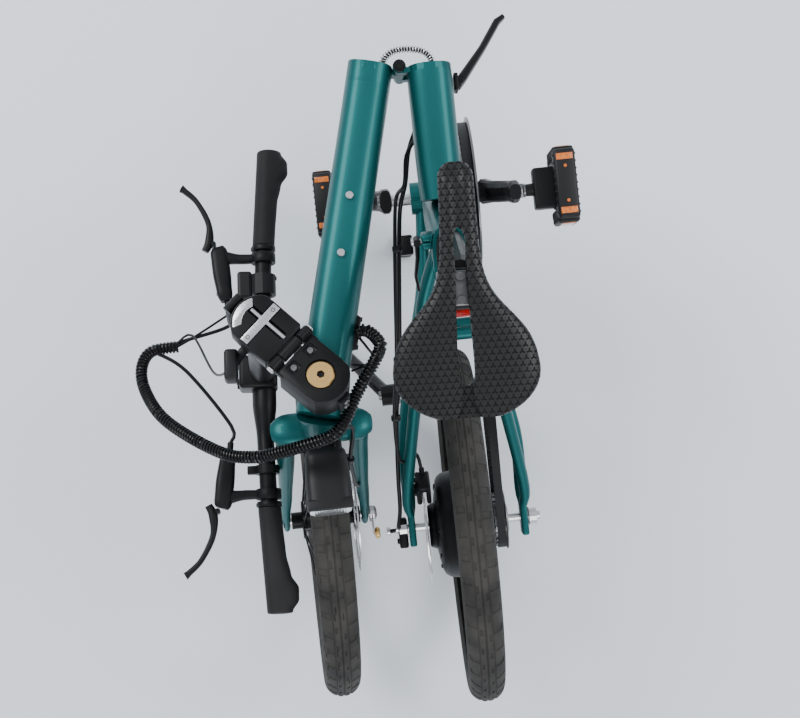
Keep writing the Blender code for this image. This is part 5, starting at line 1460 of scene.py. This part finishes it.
for name, route, first_body, last_body, start, end in halves:
    bundle = joined(hose(route, 0.0058, sides=16), coil(route, 0.0062, 0.0019, 225.0, sides=8))
    made = piece(f"loom_wrap_{name}", bundle, Matrix(), wrap_finish)
    if name == "port":
        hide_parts("cable_loom")
    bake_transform(made)

to_post = post_place.inverted()
loom_end = to_post @ loom_route[-1]
loom_turn = to_post @ loom_route[-2]
leads = []
for hand in (-1, 1):
    socket = bar_at(hand * 0.160) + Vector((-hand * 0.070, 0.0480, 0))
    out = socket + Vector((-hand * 0.022, -0.001, 0.0))
    leads.append(hose([loom_turn, loom_end.lerp(out, 0.30) + Vector((0, 0.010, 0)), out, socket], 0.0025))
leads.append(hose([loom_turn, loom_end, bar_at(-0.095) + Vector((0, 0.030, 0.004)),
                   bar_at(-0.122) + Vector((0.018, 0.024, 0.002))], 0.0016))
leads.append(hose([loom_end + Vector((0.0, 0.004, 0)), loom_end + Vector((-0.012, -0.020, -0.012)),
                   Vector((0.020, 0.060, 0.640)), Vector((0.036, 0.036, 0.545)),
                   Vector((0.038, 0.034, 0.536))], 0.0016))
piece("bar_leads", joined(*leads), post_place, hose_rubber, "handlepost")

brake_inlet = fork_place.inverted() @ front_caliper_place @ Vector((-0.0405, 0.016, 0.022))
loom_drop = fork_place.inverted() @ loom_route[5]
front_hose = hose([loom_drop, (-0.0360, 0.022, 0.325), (-0.0330, 0.038, 0.250), (-0.0400, 0.046, 0.160),
                   (-0.0460, 0.034, 0.110), brake_inlet], 0.0025)
lamp_lead = hose([loom_drop, (-0.0150, 0.030, 0.335), (-0.0100, 0.036, 0.318), (-0.006, 0.044, 0.308)],
                 0.0015)
hose_clip = joined(
    turned([(0.0024, -0.004), (0.0046, -0.004), (0.0046, 0.004), (0.0024, 0.004)], 24),
)
bmesh.ops.translate(hose_clip, verts=hose_clip.verts, vec=(-0.0335, 0.0385, 0.245))
piece("front_brake_hose", joined(front_hose, lamp_lead, hose_clip), fork_place, hose_rubber, "fork")

rear_inlet = rear_half.inverted() @ rear_caliper_place @ Vector((-0.0585, 0.016, 0.022))
rear_hose = hose([(-0.0240, 0.050, 0.505), (-0.0380, 0.030, 0.502), (-0.0440, -0.004, 0.492),
                  (-0.0560, -0.018, 0.462), (-0.0640, -0.080, 0.448), (-0.0700, -0.1446, 0.438),
                  (-0.0770, -0.222, 0.408), (-0.0880, -0.300, 0.362), (-0.0860, -0.360, 0.330),
                  rear_inlet + Vector((-0.006, 0.024, 0.014)), rear_inlet], 0.0025)
motor_lead = hose([(-0.0240, 0.060, 0.500), (-0.0350, 0.035, 0.490), (-0.0420, 0.000, 0.478),
                   (-0.0520, -0.030, 0.452), (-0.0590, -0.085, 0.440), (-0.0650, -0.1446, 0.428),
                   (-0.0730, -0.222, 0.398), (-0.0850, -0.300, 0.350), (-0.0915, -0.380, 0.308),
                   (-0.0940, -0.430, 0.282), (-0.0985, -0.456, 0.264), (-0.0970, -0.463, 0.252)], 0.0030)
clips = []
for along, x, z in ((-0.0800, -0.0615, 0.444), (-0.2220, -0.0750, 0.403), (-0.3000, -0.0865, 0.356)):
    clips.append(block((x - 0.0060, along - 0.0045, z - 0.0085), (x + 0.0070, along + 0.0045, z + 0.0085),
                       0.0025))
piece("rear_hoses", joined(rear_hose, motor_lead, *clips), rear_half, hose_rubber, "rear_frame")

port_lead = joined(
    hose([(-0.0330, 0.450, 0.578), (-0.0500, 0.456, 0.582), (-0.0660, 0.473, 0.566), (-0.0560, 0.492, 0.552),
          (-0.0300, 0.496, 0.548)], 0.0018),
    hose([(-0.0330, 0.462, 0.578), (-0.0460, 0.474, 0.574), (-0.0560, 0.488, 0.560),
          (-0.0300, 0.504, 0.546)], 0.0016),
)
piece("port_leads", port_lead, front_half, hose_rubber, "front_frame")


# ---------------------------------------------------------------- stands and folding catch
# A kickstand on the left chainstay and a short prop under the frame hold the folded bicycle up. A magnet
# on the left dropout meets a gold cup on the fork's dropout and keeps the halves together.

dress(black_metal, "kickstand", "rest_leg")
stand_place = rear_half @ Matrix.Translation((-0.0945, -0.2735, 0.203))
stand_mount = joined(
    bolt((-0.0102, 0.002, 0.004), (-1, 0, 0), head=0.0066, height=0.004),
    turned([(0.0, 0.0151), (0.0120, 0.0151), (0.0120, 0.0172), (0.0, 0.0172)], 40, "X"),
)
piece("kickstand_pivot_bolt", stand_mount, stand_place, dark_steel, "kickstand")
stay_bracket = joined(
    block((-0.0750, -0.2950, 0.2180), (-0.0700, -0.2520, 0.2640), 0.0020),
    bolt((-0.0750, -0.2620, 0.2480), (-1, 0, 0), head=0.0045, height=0.002),
    bolt((-0.0750, -0.2850, 0.2480), (-1, 0, 0), head=0.0045, height=0.002),
)
piece("kickstand_bracket", stay_bracket, rear_half, black_metal, "rear_frame")
prop_bracket = joined(
    block((-0.0560, -0.0760, 0.2520), (-0.0370, -0.0480, 0.2760), 0.0030),
    bolt((-0.0560, -0.0620, 0.2620), (-1, 0, 0), head=0.0048, height=0.003),
)
piece("prop_bracket", prop_bracket, rear_half, black_metal, "rear_frame")

cup_strap = joined(
    cut_plate([(-0.0085, -0.0085), (0.0085, -0.0085), (0.0085, 0.0300), (-0.0085, 0.0300)], 0.0, 0.0022,
              0.0005),
)
bmesh.ops.transform(cup_strap, verts=cup_strap.verts,
                    matrix=Matrix.Translation((-0.0650, 0.050, 0.0)) @ Matrix.Rotation(-math.pi / 2, 4, "Y"))
piece("catch_strap", cup_strap, fork_place, bright_steel, "fork")
cup = turned([(0.0, -0.0750), (0.0060, -0.0750), (0.0085, -0.0735), (0.0088, -0.0700), (0.0060, -0.0680),
              (0.0050, -0.0672), (0.0, -0.0672)], 48, "X")
bmesh.ops.translate(cup, verts=cup.verts, vec=(0, 0.0795, -0.0030))
piece("catch_cup", cup, fork_place, gold, "fork")
holder = joined(
    block((-0.1000, -0.4900, 0.2410), (-0.0870, -0.4470, 0.2590), 0.0030),
    bar((-0.0980, -0.4640, 0.2500), (-0.1120, -0.4645, 0.2500), 0.0030, 20),
    bolt((-0.1000, -0.4800, 0.2500), (-1, 0, 0), head=0.0040, height=0.003),
)
piece("catch_magnet_holder", holder, rear_half, black_metal, "rear_frame")
magnet = bar((-0.1115, -0.4645, 0.2500), (-0.1165, -0.4647, 0.2500), 0.0062, 32)
piece("catch_magnet", magnet, rear_half, bright_steel, "rear_frame")
